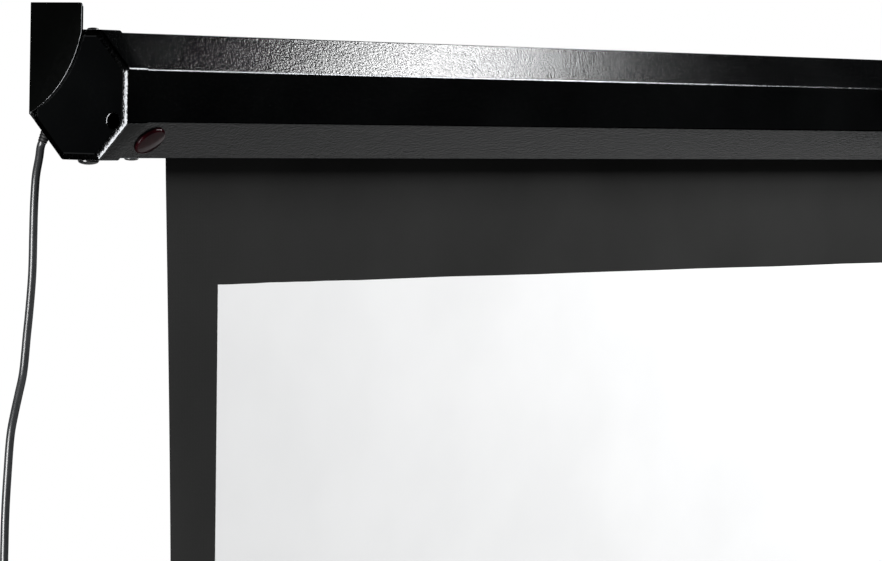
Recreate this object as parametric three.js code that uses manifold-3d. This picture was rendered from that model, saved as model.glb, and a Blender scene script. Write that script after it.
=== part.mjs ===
// An electric projection screen: an octagonal steel case on two wall brackets, a tubular motor inside
// the roller, and a bordered white screen that hangs from the roller with a weight bar in its hem.
// Millimetres. X runs along the case from the outer face of the left end cap, Y from the front
// towards the wall, and Z up from the underside of the end caps.
import * as THREE from "three";
import { mergeVertices } from "three/addons/utils/BufferGeometryUtils.js";
import Module from "manifold-3d";

const wasm = await Module();
wasm.setup();

// Clearances
const gap = 0.3; // between pieces that seat on each other
const runningGap = 0.4; // round pieces that turn
const overshoot = 5; // how far a cutting tool stands out of the face that it cuts
const bite = 1; // how far blocks that are joined run into each other

// End caps and the folded steel case
const capHeight = 96;
const capDepth = 93;
const capBevel = 28;
const capFace = 2;
const capSkirt = 23;
const capEdge = 1.5;
const caseInset = 1.75;
const caseWall = 1.5;

// Screen cloth
const pictureWidth = 1860;
const pictureHeight = 1046;
const sideBorder = 62;
const bottomBorder = 61;
const topDrop = 95;
const clothThickness = 0.5;
const clothLeft = 104.5;
const clothRightMargin = 45.5;

// Roller and its motor
const rollerRadius = 20;
const rollerWall = 1.2;
const rollerY = 30.5;
const rollerZ = 46;
const rollerOverhang = 6; // beyond each side of the cloth
const wrapThickness = 1; // the turns of cloth that always stay on the roller
const motorTubeRadius = 16.5;
const motorTubeLength = 385;
const motorHeadRadius = 23;
const motorHeadLength = 26;
const motorPinSide = 12;
const motorPinLength = 9;
const crownFlange = 7;
const crownSleeve = 14;
const shaftRadius = 5;
const shaftInMotor = 16;
const driveWheelLength = 18;
const shaftProud = 2; // of the shaft beyond the drive wheel
const idlerPlugLength = 40;
const idlerPlugFlange = 3;
const idlerPinInPlug = 20;
const bearingRadius = 8;
const bearingFlangeRadius = 11;
const bearingFlange = 2;
const bearingProud = 1; // of the bearing beyond its plate
const idlerPinProud = 4;

// Plates that carry the motor and the idler
const motorPlateX = 62;
const idlerPlateX = 22; // from the right end
const plateThickness = 2;
const footLength = 24;
const footFront = 31;
const footWidth = 10;
const footThickness = 1.5;
const footScrewFromPlate = 15.5;

// Limit screws of the motor, and the hole that a key reaches them through
const keyHoleY = 13.6;
const keyHoleZ = 29.4;
const keyHoleRadius = 5.5;
const limitScrewSpacing = 8;
const limitScrewRadius = 2.5;
const limitScrewLength = 10;
const limitScrewSocket = 3; // across the flats
const limitScrewSocketDepth = 4;
const limitScrewRecess = 2;
const lobeHalfWidth = 8.5;
const lobeReach = 28.3;
const lobeCorner = 2.5;

// Slot, weight bar and hem
const slotWidth = 18;
const slotLip = 7;
const slotEndClearance = 5;
const barOverhang = 12;
const barNeckWidth = 11;
const barNeckHeight = 18;
const barFootWidth = 26;
const barFootHeight = 12;
const barFootCorner = 3;
const barWall = 2;
const barCap = 3;
const barPlug = 12;
const hemChannelRadius = 2.8;
const hemChannelDepth = 8; // of its centre, below the top of the bar
const hemSlit = 1.8;
const hemRodRadius = 2.4;
const parkingGap = 2.5; // between the foot of the raised bar and the case, past the screw heads

// Wall brackets
const bracketThickness = 2;
const bracketRise = 19.7; // above the caps
const bracketFront = 44;
const bracketArcY = 133;
const bracketArcRise = 21;
const bracketArcRadius = 91.9;
const bracketFlangeWidth = 40;
const bracketFlangeBottom = 24;
const bracketChamferWidth = 9;
const bracketCorner = 3;
const wallSlotX = 20;
const wallSlotRise = 10;
const wallSlotLength = 16;
const wallSlotWidth = 7;
const studs = [
  { label: "upper", y: 66, z: capHeight - 16 },
  { label: "lower", y: 78, z: capHeight - 38 },
];
const studRadius = 2.3;
const studLength = 9;
const nutAcrossFlats = 8;
const nutThickness = 4;

// Screws
const capScrewX = 11.3;
const topScrewY = 44.6;
const lowerScrewY = 47;
const topScrewHead = { radius: 4.4, height: 1.7 };
const lowerScrewHead = { radius: 8, height: 3.6 };
const footScrewHead = { radius: 5.5, height: 2 };
const screwShank = 1.8;
const screwLength = 10;
const screwRim = 0.15; // the upright edge of a domed head, as a share of its height

// Infrared receiver on the lower front bevel
const lensX = 43;
const lensRim = 13;
const lensRimThickness = 0.8;
const lensDome = 3.4;
const lensBoss = 10.7;
const lensBossDepth = 6;
const lensWall = 1.4;
const lensNutWidth = 25;
const lensNutThickness = 3;
const boardLength = 20;
const boardWidth = 15;
const boardThickness = 1.6;
const sensorSide = 6;
const sensorHeight = 4;

// Control box behind the motor plate
const boxLeft = 17;
const boxLength = 40;
const boxDepth = 44;
const boxHeight = 18;
const boxWall = 2;
const lidThickness = 3;
const lidRebate = 2;
const controlBoardRaise = 3;
const postRadius = 2;
const postInset = 4; // of the posts, from the edges of the board
const relaySide = 14;
const relayHeight = 7;
const relayInset = 4; // of the first relay, from the side of the box
const relayFromFront = 8;
const relaySpacing = 17;

// Leads inside the case
const motorLeadRadius = 2.5;
const motorLeadAhead = 3; // of the lead, from the axis of the motor towards the wall
const motorLeadAbove = 15;
const motorLeadHole = 5;
const motorLeadInset = 12; // of its end, from the right side of the control box
const motorLeadDrop = 6; // of its end, from the top of the control box
const receiverLeadRadius = 1.25;
const receiverLeadShift = 4; // of its end, from the middle of the lens
const receiverLeadRise = 6;
const leadStraight = 3; // the straight end of a lead

// Power cord, its strain relief, coil, tie and plug
const cordRadius = 3.2;
const reliefX = 8;
const reliefY = 86;
const reliefDirection = new THREE.Vector3(-0.15, 0.3, -0.94).normalize();
const reliefInside = 16;
const reliefOutside = 9;
const reliefCollarStart = 7.2;
const reliefCollarRadius = 5.3;
const reliefRadius = 4;
const reliefTipRadius = 3.6;
const cordHang = [
  [4.4, 89.6, 1], [1.7, 90, -12], [0.4, 90, -26.6], [-0.2, 90, -41.3], [-0.4, 90, -56.1],
  [-0.9, 90, -85.7], [-3.7, 90, -115.3], [-5.6, 90, -130], [-9.3, 90, -159.5], [-13.6, 90, -174.1],
  [-18, 90, -188.7], [-21.6, 90, -203.3], [-24.4, 90, -232.7], [-26.2, 90, -262.1], [-26.6, 90, -285],
];
const coilDrop = 300; // where the cord turns aside to the coil, below the caps
const coilBend = 30;
const coilInnerRadius = 25.6;
const coilPitch = 7.2;
const coilTurns = 6.125;
const coilReversal = 0.04; // turns over which the spiral reverses
const coilClimb = 0.25; // turns before and after the middle in which the cord climbs a layer
const coilTail = 30;
const tieWidth = 10;
const tieThickness = 0.8;
const tieAngle = 135;
const tieCorner = 2;
const plugBootLength = 18;
const plugBootRadius = 5.5;
const plugLength = 28;
const plugWidth = 26;
const plugDepth = 20;
const plugCorner = 5;
const bladeLength = 17;
const bladeWidth = 6.3;
const bladeThickness = 1.5;
const bladeSpacing = 12.7;
const earthPinRadius = 2.4;
const earthPinLength = 20;
const earthPinOffset = 5.5;

// Sizes that follow from these
const totalLength = clothLeft + sideBorder * 2 + pictureWidth + clothRightMargin;
const clothRight = totalLength - clothRightMargin;
const caseInner = caseInset + caseWall;
const caseLeft = capFace + gap;
const caseRight = totalLength - caseLeft;
const wrapInner = rollerRadius + gap;
const wrapOuter = wrapInner + wrapThickness;
const clothY = rollerY + wrapOuter + gap + clothThickness / 2;
const slotFront = clothY - slotWidth / 2;
const slotRear = clothY + slotWidth / 2;
const pictureTop = -topDrop;
const pictureBottom = pictureTop - pictureHeight;
const barTop = pictureBottom - bottomBorder;
const barFootTop = barTop - barNeckHeight;
const barLeft = clothLeft - barOverhang;
const barRight = clothRight + barOverhang;
const slotLeft = barLeft - barCap - slotEndClearance;
const slotRight = barRight + barCap + slotEndClearance;
const hemRodZ = barTop - hemChannelDepth;
const clothBottom = hemRodZ + hemRodRadius + gap;
const rollerLeft = clothLeft - rollerOverhang;
const rollerRight = clothRight + rollerOverhang;
const rollerInner = rollerRadius - rollerWall;
const plugRadius = rollerInner - gap;
const motorPlateRight = motorPlateX + plateThickness;
const headLeft = motorPlateRight + gap;
const headRight = headLeft + motorHeadLength;
const motorTubeLeft = headRight + gap;
const motorTubeRight = motorTubeLeft + motorTubeLength;
const driveWheelLeft = motorTubeRight + runningGap;
const idlerPlateLeft = totalLength - idlerPlateX - plateThickness;
const footScrewY = footFront + footWidth / 2;
const motorFootScrewX = motorPlateX - footScrewFromPlate;
const idlerFootScrewX = idlerPlateLeft - footScrewFromPlate;
const wallY = capDepth + bracketThickness;
const bracketTop = capHeight + bracketRise;
const bracketArcZ = capHeight + bracketArcRise;
const wallSlotZ = capHeight + wallSlotRise;
const mountX = (bracketFlangeWidth - bracketThickness) / 2;
const mountZ = (capBevel + bracketTop) / 2;
const cordDiameter = cordRadius * 2;
const barTravel = caseInset - parkingGap - barFootTop;
const boxRight = boxLeft + boxLength;
const boxRear = capDepth - caseInner - gap;
const boxFront = boxRear - boxDepth;
const boxBottom = (capHeight - boxHeight) / 2;
const boxTop = boxBottom + boxHeight;
const motorLeadY = rollerY + motorLeadAhead;
const motorLeadZ = rollerZ + motorLeadAbove;

const up = new THREE.Vector3(0, 0, 1);
const down = new THREE.Vector3(0, 0, -1);

// Materials
function finish(color, roughness, metalness) {
  return new THREE.MeshStandardMaterial({ color, roughness, metalness });
}
const materials = {
  sandCoat: finish(0x151617, 0.42, 0.5),
  smoothCoat: finish(0x0b0d0c, 0.35, 0.4),
  blackScrew: finish(0x101112, 0.28, 0.7),
  zincSteel: finish(0x9a9c9a, 0.4, 0.9),
  aluminium: finish(0xb4b6b8, 0.35, 0.9),
  border: finish(0x2b2b2a, 0.9, 0),
  picture: finish(0xf2f2f0, 0.85, 0),
  blackPlastic: finish(0x161616, 0.5, 0),
  whitePlastic: finish(0xd9d9d4, 0.5, 0),
  redLens: finish(0x5a0d0a, 0.12, 0),
  board: finish(0x1d5a35, 0.5, 0),
  cord: finish(0x1d2022, 0.4, 0),
  brass: finish(0xb89a5a, 0.35, 0.9),
};

// Shapes in two dimensions
function polygon(points) {
  return new THREE.Shape(points.map(([a, b]) => new THREE.Vector2(a, b)));
}

function rectangle(a0, b0, a1, b1) {
  return polygon([[a0, b0], [a1, b0], [a1, b1], [a0, b1]]);
}

function disc(a, b, radius) {
  return new THREE.Shape().absarc(a, b, radius, 0, Math.PI * 2);
}

function regularPolygon(a, b, acrossFlats, sides) {
  const radius = acrossFlats / 2 / Math.cos(Math.PI / sides);
  const points = [];
  for (let i = 0; i < sides; i += 1) {
    const angle = (i / sides) * Math.PI * 2;
    points.push([a + radius * Math.cos(angle), b + radius * Math.sin(angle)]);
  }
  return polygon(points);
}

function roundedRectangle(a0, b0, a1, b1, radius) {
  const shape = new THREE.Shape();
  shape.absarc(a1 - radius, b0 + radius, radius, -Math.PI / 2, 0);
  shape.absarc(a1 - radius, b1 - radius, radius, 0, Math.PI / 2);
  shape.absarc(a0 + radius, b1 - radius, radius, Math.PI / 2, Math.PI);
  shape.absarc(a0 + radius, b0 + radius, radius, Math.PI, Math.PI * 1.5);
  return shape;
}

// The section of the case, with every face moved in by the same distance.
function octagon(inset) {
  const near = capBevel + inset * (Math.SQRT2 - 1);
  return polygon([
    [inset, near],
    [near, inset],
    [capDepth - near, inset],
    [capDepth - inset, near],
    [capDepth - inset, capHeight - near],
    [capDepth - near, capHeight - inset],
    [near, capHeight - inset],
    [inset, capHeight - near],
  ]);
}

// Solids from shapes
function extrude(shape, depth, curveSegments) {
  return new THREE.ExtrudeGeometry(shape, { depth, bevelEnabled: false, curveSegments });
}

// Lays an extrusion along X, with its shape's axes on Y and Z.
function layAlongX(geometry) {
  const turn = new THREE.Matrix4().makeBasis(
    new THREE.Vector3(0, 1, 0),
    new THREE.Vector3(0, 0, 1),
    new THREE.Vector3(1, 0, 0),
  );
  return geometry.applyMatrix4(turn);
}

// A shape of Y and Z, along X.
function alongX(shape, x0, x1, curveSegments = 16) {
  return layAlongX(extrude(shape, x1 - x0, curveSegments)).translate(x0, 0, 0);
}

// A shape of X and Z, along Y.
function alongY(shape, y0, y1, curveSegments = 12) {
  const turn = new THREE.Matrix4().makeBasis(
    new THREE.Vector3(1, 0, 0),
    new THREE.Vector3(0, 0, 1),
    new THREE.Vector3(0, -1, 0),
  );
  return extrude(shape, y1 - y0, curveSegments).applyMatrix4(turn).translate(0, y1, 0);
}

// A shape of X and Y, along Z.
function alongZ(shape, z0, z1, curveSegments = 12) {
  return extrude(shape, z1 - z0, curveSegments).translate(0, 0, z0);
}

function box(x0, y0, z0, x1, y1, z1) {
  return alongZ(rectangle(x0, y0, x1, y1), z0, z1);
}

// Turns a solid whose axis is +Y so that the axis points along a direction, and moves it to a place.
function aim(geometry, place, direction) {
  const turn = new THREE.Quaternion().setFromUnitVectors(new THREE.Vector3(0, 1, 0), direction);
  return geometry.applyQuaternion(turn).translate(place.x, place.y, place.z);
}

// A profile of radius and height, from the axis at the bottom round to the axis at the top.
function revolve(profile, place, direction, segments = 24) {
  const points = profile.map(([radius, height]) => new THREE.Vector2(radius, height));
  return aim(new THREE.LatheGeometry(points, segments), place, direction);
}

function rod(place, direction, radius, from, to, segments = 24) {
  return revolve([[0, from], [radius, from], [radius, to], [0, to]], place, direction, segments);
}

// A bent cable of one thickness.
function cable(points, radius, steps, sides) {
  const section = new THREE.Shape();
  for (let i = 0; i < sides; i += 1) {
    const angle = (i / sides) * Math.PI * 2;
    const corner = [radius * Math.cos(angle), radius * Math.sin(angle)];
    if (i === 0) section.moveTo(...corner);
    else section.lineTo(...corner);
  }
  section.closePath();
  const extrudePath = new THREE.CatmullRomCurve3(points, false, "centripetal");
  return new THREE.ExtrudeGeometry(section, { steps, extrudePath, bevelEnabled: false });
}

// Joins and cuts
function solidOf(geometry) {
  const plain = geometry.clone();
  for (const attribute of ["normal", "uv"]) plain.deleteAttribute(attribute);
  const merged = mergeVertices(plain, 1e-4);
  return new wasm.Manifold(
    new wasm.Mesh({
      numProp: 3,
      vertProperties: merged.attributes.position.array,
      triVerts: new Uint32Array(merged.index.array),
    }),
  );
}

function geometryOf(solid) {
  const mesh = solid.getMesh();
  const geometry = new THREE.BufferGeometry();
  geometry.setAttribute("position", new THREE.BufferAttribute(mesh.vertProperties, 3));
  geometry.setIndex(new THREE.BufferAttribute(mesh.triVerts, 1));
  geometry.computeVertexNormals();
  return geometry;
}

function join(first, ...others) {
  return geometryOf(others.reduce((sum, other) => sum.add(solidOf(other)), solidOf(first)));
}

function cut(first, ...tools) {
  return geometryOf(tools.reduce((rest, tool) => rest.subtract(solidOf(tool)), solidOf(first)));
}

// Places on the case
const reliefExit = new THREE.Vector3(reliefX, reliefY, capBevel + reliefY - capDepth);
const bevelMiddle = (capBevel + Math.SQRT2 * caseInset) / 2;
const lensPlace = new THREE.Vector3(lensX, bevelMiddle, bevelMiddle);
const lensOut = new THREE.Vector3(0, -Math.SQRT1_2, -Math.SQRT1_2);
const reliefTip = reliefExit.clone().addScaledVector(reliefDirection, reliefOutside);
const limitScrews = [-1, 1].map((side) => ({
  y: keyHoleY + (side * limitScrewSpacing * Math.SQRT1_2) / 2,
  z: keyHoleZ - (side * limitScrewSpacing * Math.SQRT1_2) / 2,
}));

function screwHole(x, y, z0, z1) {
  return rod(new THREE.Vector3(x, y, 0), up, screwShank + gap, z0, z1, 16);
}

function reliefHole() {
  return rod(reliefExit, reliefDirection, reliefRadius + gap, -reliefInside + overshoot, overshoot);
}

// The case: one folded octagon with a punched and lipped slot for the cloth.
function caseShell() {
  const tube = cut(
    alongX(octagon(caseInset), caseLeft, caseRight),
    alongX(octagon(caseInner), caseLeft - overshoot, caseRight + overshoot),
  );
  const lips = [slotFront - caseWall, slotRear].map((y) =>
    box(slotLeft, y, caseInset, slotRight, y + caseWall, caseInset + slotLip),
  );
  const tools = [
    box(slotLeft, slotFront, -overshoot, slotRight, slotRear, caseInset + slotLip + overshoot),
    rod(lensPlace, lensOut, lensBoss + gap, -overshoot, overshoot),
    reliefHole(),
  ];
  for (const x of [capScrewX, totalLength - capScrewX]) {
    tools.push(screwHole(x, topScrewY, capHeight - overshoot * 2, capHeight));
    tools.push(screwHole(x, lowerScrewY, 0, overshoot * 2));
  }
  for (const x of [motorFootScrewX, idlerFootScrewX]) {
    tools.push(screwHole(x, footScrewY, 0, overshoot));
  }
  return cut(join(tube, ...lips), ...tools);
}

// An end cap: an octagonal cup with a rounded outer edge, over the end of the case.
function endCap(isLeft) {
  const blank = new THREE.ExtrudeGeometry(octagon(0), {
    depth: capSkirt,
    bevelEnabled: true,
    bevelThickness: capEdge,
    bevelSize: capEdge,
    bevelOffset: -capEdge,
    bevelSegments: 4,
  });
  layAlongX(blank).translate(capEdge, 0, 0);
  const far = capSkirt + capEdge * 2 + overshoot;
  const tools = [
    box(capSkirt, -overshoot, -overshoot, far, capDepth + overshoot, capHeight + overshoot),
    alongX(octagon(caseInset - gap), capFace, far),
    screwHole(capScrewX, topScrewY, capHeight - overshoot, capHeight + overshoot),
    screwHole(capScrewX, lowerScrewY, -overshoot, overshoot),
  ];
  for (const { y, z } of studs) {
    tools.push(alongX(disc(y, z, studRadius + gap), -overshoot, overshoot, 8));
  }
  if (isLeft) {
    tools.push(alongX(disc(keyHoleY, keyHoleZ, keyHoleRadius), -overshoot, overshoot, 12));
    tools.push(reliefHole());
  }
  return cut(blank, ...tools);
}

// A wall bracket: a side plate with a curved front edge, a flange against the wall and two studs.
function wallBracket() {
  const rise = (y) => bracketArcZ - Math.sqrt(bracketArcRadius ** 2 - (y - bracketArcY) ** 2);
  const arcAngle = (y) => Math.atan2(rise(y) - bracketArcZ, y - bracketArcY);
  const plate = new THREE.Shape();
  plate.moveTo(wallY, bracketTop);
  plate.lineTo(bracketFront + bracketCorner, bracketTop);
  plate.absarc(
    bracketFront + bracketCorner,
    bracketTop - bracketCorner,
    bracketCorner,
    Math.PI / 2,
    Math.PI,
  );
  plate.absarc(
    bracketArcY,
    bracketArcZ,
    bracketArcRadius,
    arcAngle(bracketFront),
    arcAngle(wallY),
  );
  plate.closePath();
  const flange = polygon([
    [-bracketThickness, rise(wallY)],
    [bracketChamferWidth, bracketFlangeBottom],
    [bracketFlangeWidth, bracketFlangeBottom],
    [bracketFlangeWidth, bracketTop],
    [-bracketThickness, bracketTop],
  ]);
  const slotStraight = (wallSlotLength - wallSlotWidth) / 2;
  const slot = roundedRectangle(
    wallSlotX - slotStraight - wallSlotWidth / 2,
    wallSlotZ - wallSlotWidth / 2,
    wallSlotX + slotStraight + wallSlotWidth / 2,
    wallSlotZ + wallSlotWidth / 2,
    wallSlotWidth / 2,
  );
  const bolts = studs.map(({ y, z }) => alongX(disc(y, z, studRadius), -bite, studLength, 8));
  return cut(
    join(alongX(plate, -bracketThickness, 0, 8), alongY(flange, capDepth, wallY), ...bolts),
    alongY(slot, capDepth - overshoot, wallY + overshoot, 6),
  );
}

function studNut({ y, z }) {
  return cut(
    alongX(regularPolygon(y, z, nutAcrossFlats, 6), capFace + gap, capFace + gap + nutThickness),
    alongX(disc(y, z, studRadius + gap), 0, studLength, 8),
  );
}

// A domed screw or rivet head on a shank, seated at a place and pointing out along a direction.
function domedScrew(place, direction, { radius, height }) {
  const dome = [
    [0, -screwLength],
    [screwShank, -screwLength],
    [screwShank, gap / 2],
    [radius, gap / 2],
  ];
  const rings = 4;
  for (let i = 0; i <= rings; i += 1) {
    const angle = (i / rings) * (Math.PI / 2);
    dome.push([
      radius * Math.cos(angle),
      gap + (height - gap) * (screwRim + (1 - screwRim) * Math.sin(angle)),
    ]);
  }
  dome[dome.length - 1][0] = 0;
  return revolve(dome, place, direction, 16);
}

// A plate across the inside of the case, with a foot screwed to its floor.
function supportPlate(x, footX) {
  const plate = alongX(octagon(caseInner + gap), x, x + plateThickness);
  const footBottom = caseInner + gap;
  const foot = box(
    footX,
    footFront,
    footBottom,
    x + plateThickness / 2,
    footFront + footWidth,
    footBottom + footThickness,
  );
  const hole = screwHole(x - footScrewFromPlate, footScrewY, 0, footBottom + overshoot);
  return cut(join(plate, foot), hole);
}

function motorSupport() {
  const plate = supportPlate(motorPlateX, motorPlateX - footLength);
  const half = motorPinSide / 2 + gap;
  const from = motorPlateX - overshoot;
  const to = motorPlateRight + overshoot;
  return cut(
    plate,
    alongX(rectangle(rollerY - half, rollerZ - half, rollerY + half, rollerZ + half), from, to),
    alongX(disc(keyHoleY, keyHoleZ, keyHoleRadius + limitScrewRadius), from, to, 12),
    alongX(disc(motorLeadY, motorLeadZ, motorLeadHole), from, to, 8),
  );
}

function idlerSupport() {
  const plate = supportPlate(idlerPlateLeft, idlerPlateLeft - footLength);
  const hole = disc(rollerY, rollerZ, bearingRadius + gap);
  const far = idlerPlateLeft + plateThickness + overshoot;
  return cut(plate, alongX(hole, idlerPlateLeft - overshoot, far));
}

// The motor's head, with a lobe for the limit screws and a square pin in the support plate.
function motorHead() {
  const lobePoint = (reach, side) => [
    rollerY - (reach + side) * Math.SQRT1_2,
    rollerZ - (reach - side) * Math.SQRT1_2,
  ];
  const lobe = polygon([
    lobePoint(0, lobeHalfWidth),
    lobePoint(lobeReach - lobeCorner, lobeHalfWidth),
    lobePoint(lobeReach, lobeHalfWidth - lobeCorner),
    lobePoint(lobeReach, -lobeHalfWidth + lobeCorner),
    lobePoint(lobeReach - lobeCorner, -lobeHalfWidth),
    lobePoint(0, -lobeHalfWidth),
  ]);
  const half = motorPinSide / 2;
  const pin = rectangle(rollerY - half, rollerZ - half, rollerY + half, rollerZ + half);
  const holeEnd = headLeft + limitScrewRecess + limitScrewLength + gap;
  return cut(
    join(
      alongX(disc(rollerY, rollerZ, motorHeadRadius), headLeft, headRight),
      alongX(lobe, headLeft, headRight),
      alongX(pin, headLeft - motorPinLength, headLeft + bite),
    ),
    ...limitScrews.map(({ y, z }) =>
      alongX(disc(y, z, limitScrewRadius + runningGap), headLeft - overshoot, holeEnd, 10),
    ),
  );
}

function limitScrew({ y, z }) {
  const left = headLeft + limitScrewRecess;
  const socket = regularPolygon(y, z, limitScrewSocket, 6);
  return cut(
    alongX(disc(y, z, limitScrewRadius), left, left + limitScrewLength, 10),
    alongX(socket, left - overshoot, left + limitScrewSocketDepth),
  );
}

function motorTube() {
  const bore = disc(rollerY, rollerZ, shaftRadius + runningGap);
  return cut(
    alongX(disc(rollerY, rollerZ, motorTubeRadius), motorTubeLeft, motorTubeRight),
    alongX(bore, motorTubeRight - shaftInMotor - gap, motorTubeRight + overshoot),
  );
}

// Pieces that turn with the roller
function sleeve(outer, inner, x0, x1) {
  const shape = disc(rollerY, rollerZ, outer);
  shape.holes.push(disc(rollerY, rollerZ, inner));
  return alongX(shape, x0, x1);
}

function crownRing() {
  const flangeEnd = rollerLeft - gap;
  const bore = disc(rollerY, rollerZ, motorTubeRadius + runningGap);
  return cut(
    join(
      alongX(disc(rollerY, rollerZ, rollerRadius), flangeEnd - crownFlange, flangeEnd),
      alongX(disc(rollerY, rollerZ, plugRadius), flangeEnd - bite, flangeEnd + crownSleeve),
    ),
    alongX(bore, flangeEnd - crownFlange - overshoot, flangeEnd + crownSleeve + overshoot),
  );
}

function driveShaft() {
  const shape = disc(rollerY, rollerZ, shaftRadius);
  return alongX(shape, motorTubeRight - shaftInMotor, driveWheelLeft + driveWheelLength + shaftProud);
}

function idlerPlug() {
  const flangeLeft = rollerRight + gap;
  return cut(
    join(
      alongX(disc(rollerY, rollerZ, plugRadius), rollerRight - idlerPlugLength, flangeLeft + bite),
      alongX(disc(rollerY, rollerZ, rollerRadius), flangeLeft, flangeLeft + idlerPlugFlange),
    ),
    alongX(
      disc(rollerY, rollerZ, shaftRadius + gap),
      rollerRight - idlerPinInPlug - gap,
      flangeLeft + idlerPlugFlange + overshoot,
    ),
  );
}

function idlerPin() {
  const shape = disc(rollerY, rollerZ, shaftRadius);
  return alongX(shape, rollerRight - idlerPinInPlug, idlerPlateLeft + plateThickness + idlerPinProud);
}

function idlerBearing() {
  const flangeRight = idlerPlateLeft - gap;
  return cut(
    join(
      alongX(disc(rollerY, rollerZ, bearingFlangeRadius), flangeRight - bearingFlange, flangeRight),
      alongX(
        disc(rollerY, rollerZ, bearingRadius),
        flangeRight - bite,
        idlerPlateLeft + plateThickness + bearingProud,
      ),
    ),
    alongX(
      disc(rollerY, rollerZ, shaftRadius + runningGap),
      flangeRight - bearingFlange - overshoot,
      idlerPlateLeft + plateThickness + overshoot,
    ),
  );
}

// The screen: a dark border with a window, and the white picture surface in the window.
function border() {
  const shape = rectangle(clothLeft, clothBottom, clothRight, rollerZ);
  shape.holes.push(rectangle(...pictureEdges(0)));
  return alongY(shape, clothY - clothThickness / 2, clothY + clothThickness / 2);
}

function picture() {
  const shape = rectangle(...pictureEdges(gap));
  return alongY(shape, clothY - clothThickness / 2, clothY + clothThickness / 2);
}

function pictureEdges(inset) {
  return [
    clothLeft + sideBorder + inset,
    pictureBottom + inset,
    clothRight - sideBorder - inset,
    pictureTop - inset,
  ];
}

// The section of the weight bar: a neck that enters the slot, on a foot that closes it.
function barOutline() {
  const neck = barNeckWidth / 2;
  const foot = barFootWidth / 2;
  const bottom = barFootTop - barFootHeight;
  const shape = new THREE.Shape();
  shape.moveTo(clothY + neck, barTop);
  shape.lineTo(clothY - neck, barTop);
  shape.lineTo(clothY - neck, barFootTop);
  shape.lineTo(clothY - foot, barFootTop);
  shape.absarc(
    clothY - foot + barFootCorner,
    bottom + barFootCorner,
    barFootCorner,
    Math.PI,
    Math.PI * 1.5,
  );
  shape.absarc(
    clothY + foot - barFootCorner,
    bottom + barFootCorner,
    barFootCorner,
    -Math.PI / 2,
    0,
  );
  shape.lineTo(clothY + foot, barFootTop);
  shape.lineTo(clothY + neck, barFootTop);
  shape.closePath();
  return shape;
}

function barCavity(inset) {
  const half = barFootWidth / 2 - barWall - inset;
  const bottom = barFootTop - barFootHeight + barWall + inset;
  return rectangle(clothY - half, bottom, clothY + half, barFootTop - barWall - inset);
}

function weightBar() {
  const from = barLeft - overshoot;
  const to = barRight + overshoot;
  const slit = rectangle(clothY - hemSlit / 2, hemRodZ, clothY + hemSlit / 2, barTop + overshoot);
  return cut(
    alongX(barOutline(), barLeft, barRight, 4),
    alongX(barCavity(0), from, to),
    alongX(disc(clothY, hemRodZ, hemChannelRadius), from, to, 8),
    alongX(slit, from, to),
  );
}

function barEndCap() {
  return join(
    alongX(barOutline(), barLeft - gap - barCap, barLeft - gap, 4),
    alongX(barCavity(gap), barLeft - gap - bite, barLeft + barPlug),
  );
}

// Infrared receiver
function irLens() {
  const dome = 5;
  const profile = [[0, lensDome - lensWall]];
  const inner = lensBoss - lensWall;
  profile.push([inner, -lensWall], [inner, -lensBossDepth], [lensBoss, -lensBossDepth]);
  profile.push([lensBoss, gap / 2], [lensRim, gap / 2]);
  for (let i = 0; i <= dome; i += 1) {
    const angle = (i / dome) * (Math.PI / 2);
    profile.push([
      lensRim * Math.cos(angle),
      lensRimThickness + (lensDome - lensRimThickness) * Math.sin(angle),
    ]);
  }
  profile[profile.length - 1][0] = 0;
  return revolve(profile, lensPlace, lensOut, 24);
}

function irLensNut() {
  const outer = regularPolygon(0, 0, lensNutWidth, 6);
  outer.holes.push(disc(0, 0, lensBoss + gap));
  const ring = alongZ(outer, 0, lensNutThickness, 12).rotateX(-Math.PI / 2);
  const depth = caseWall + gap + lensNutThickness;
  return aim(ring, lensPlace.clone().addScaledVector(lensOut, -depth), lensOut);
}

// A block lying flat behind the lens, at a depth under the bevel.
function behindLens(length, width, thickness, depth) {
  const block = box(-length / 2, -width / 2, 0, length / 2, width / 2, thickness);
  block.rotateX(-Math.PI / 2);
  return aim(block, lensPlace.clone().addScaledVector(lensOut, -depth), lensOut);
}

// Control box with its lid, board and relays
function controlBox() {
  return cut(
    box(boxLeft, boxFront, boxBottom, boxRight, boxRear, boxTop),
    box(
      boxLeft + boxWall,
      boxFront + boxWall,
      boxBottom + boxWall,
      boxRight - boxWall,
      boxRear - boxWall,
      boxTop + overshoot,
    ),
  );
}

function controlBoxLid() {
  const bottom = boxTop + gap;
  const rear = boxRear - lidThickness;
  return join(
    box(boxLeft, boxFront, bottom, boxRight, rear, bottom + lidThickness),
    box(
      boxLeft + boxWall + gap,
      boxFront + boxWall + gap,
      boxTop - lidRebate,
      boxRight - boxWall - gap,
      rear - boxWall,
      bottom + bite,
    ),
  );
}

function controlBoard() {
  const inset = boxWall + gap;
  const bottom = boxBottom + boxWall + gap;
  const plate = box(
    boxLeft + inset,
    boxFront + inset,
    bottom + controlBoardRaise,
    boxRight - inset,
    boxRear - inset,
    bottom + controlBoardRaise + boardThickness,
  );
  const posts = [];
  const fromEdge = inset + postInset;
  for (const x of [boxLeft + fromEdge, boxRight - fromEdge]) {
    for (const y of [boxFront + fromEdge, boxRear - fromEdge]) {
      posts.push(rod(new THREE.Vector3(x, y, bottom), up, postRadius, 0, controlBoardRaise + bite, 8));
    }
  }
  return join(plate, ...posts);
}

function relay(index) {
  const x = boxLeft + boxWall + relayInset + index * relaySpacing;
  const y = boxFront + boxWall + relayFromFront;
  const z = boxBottom + boxWall + controlBoardRaise + boardThickness + gap * 2;
  return box(x, y, z, x + relaySide, y + relaySide, z + relayHeight);
}

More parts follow.
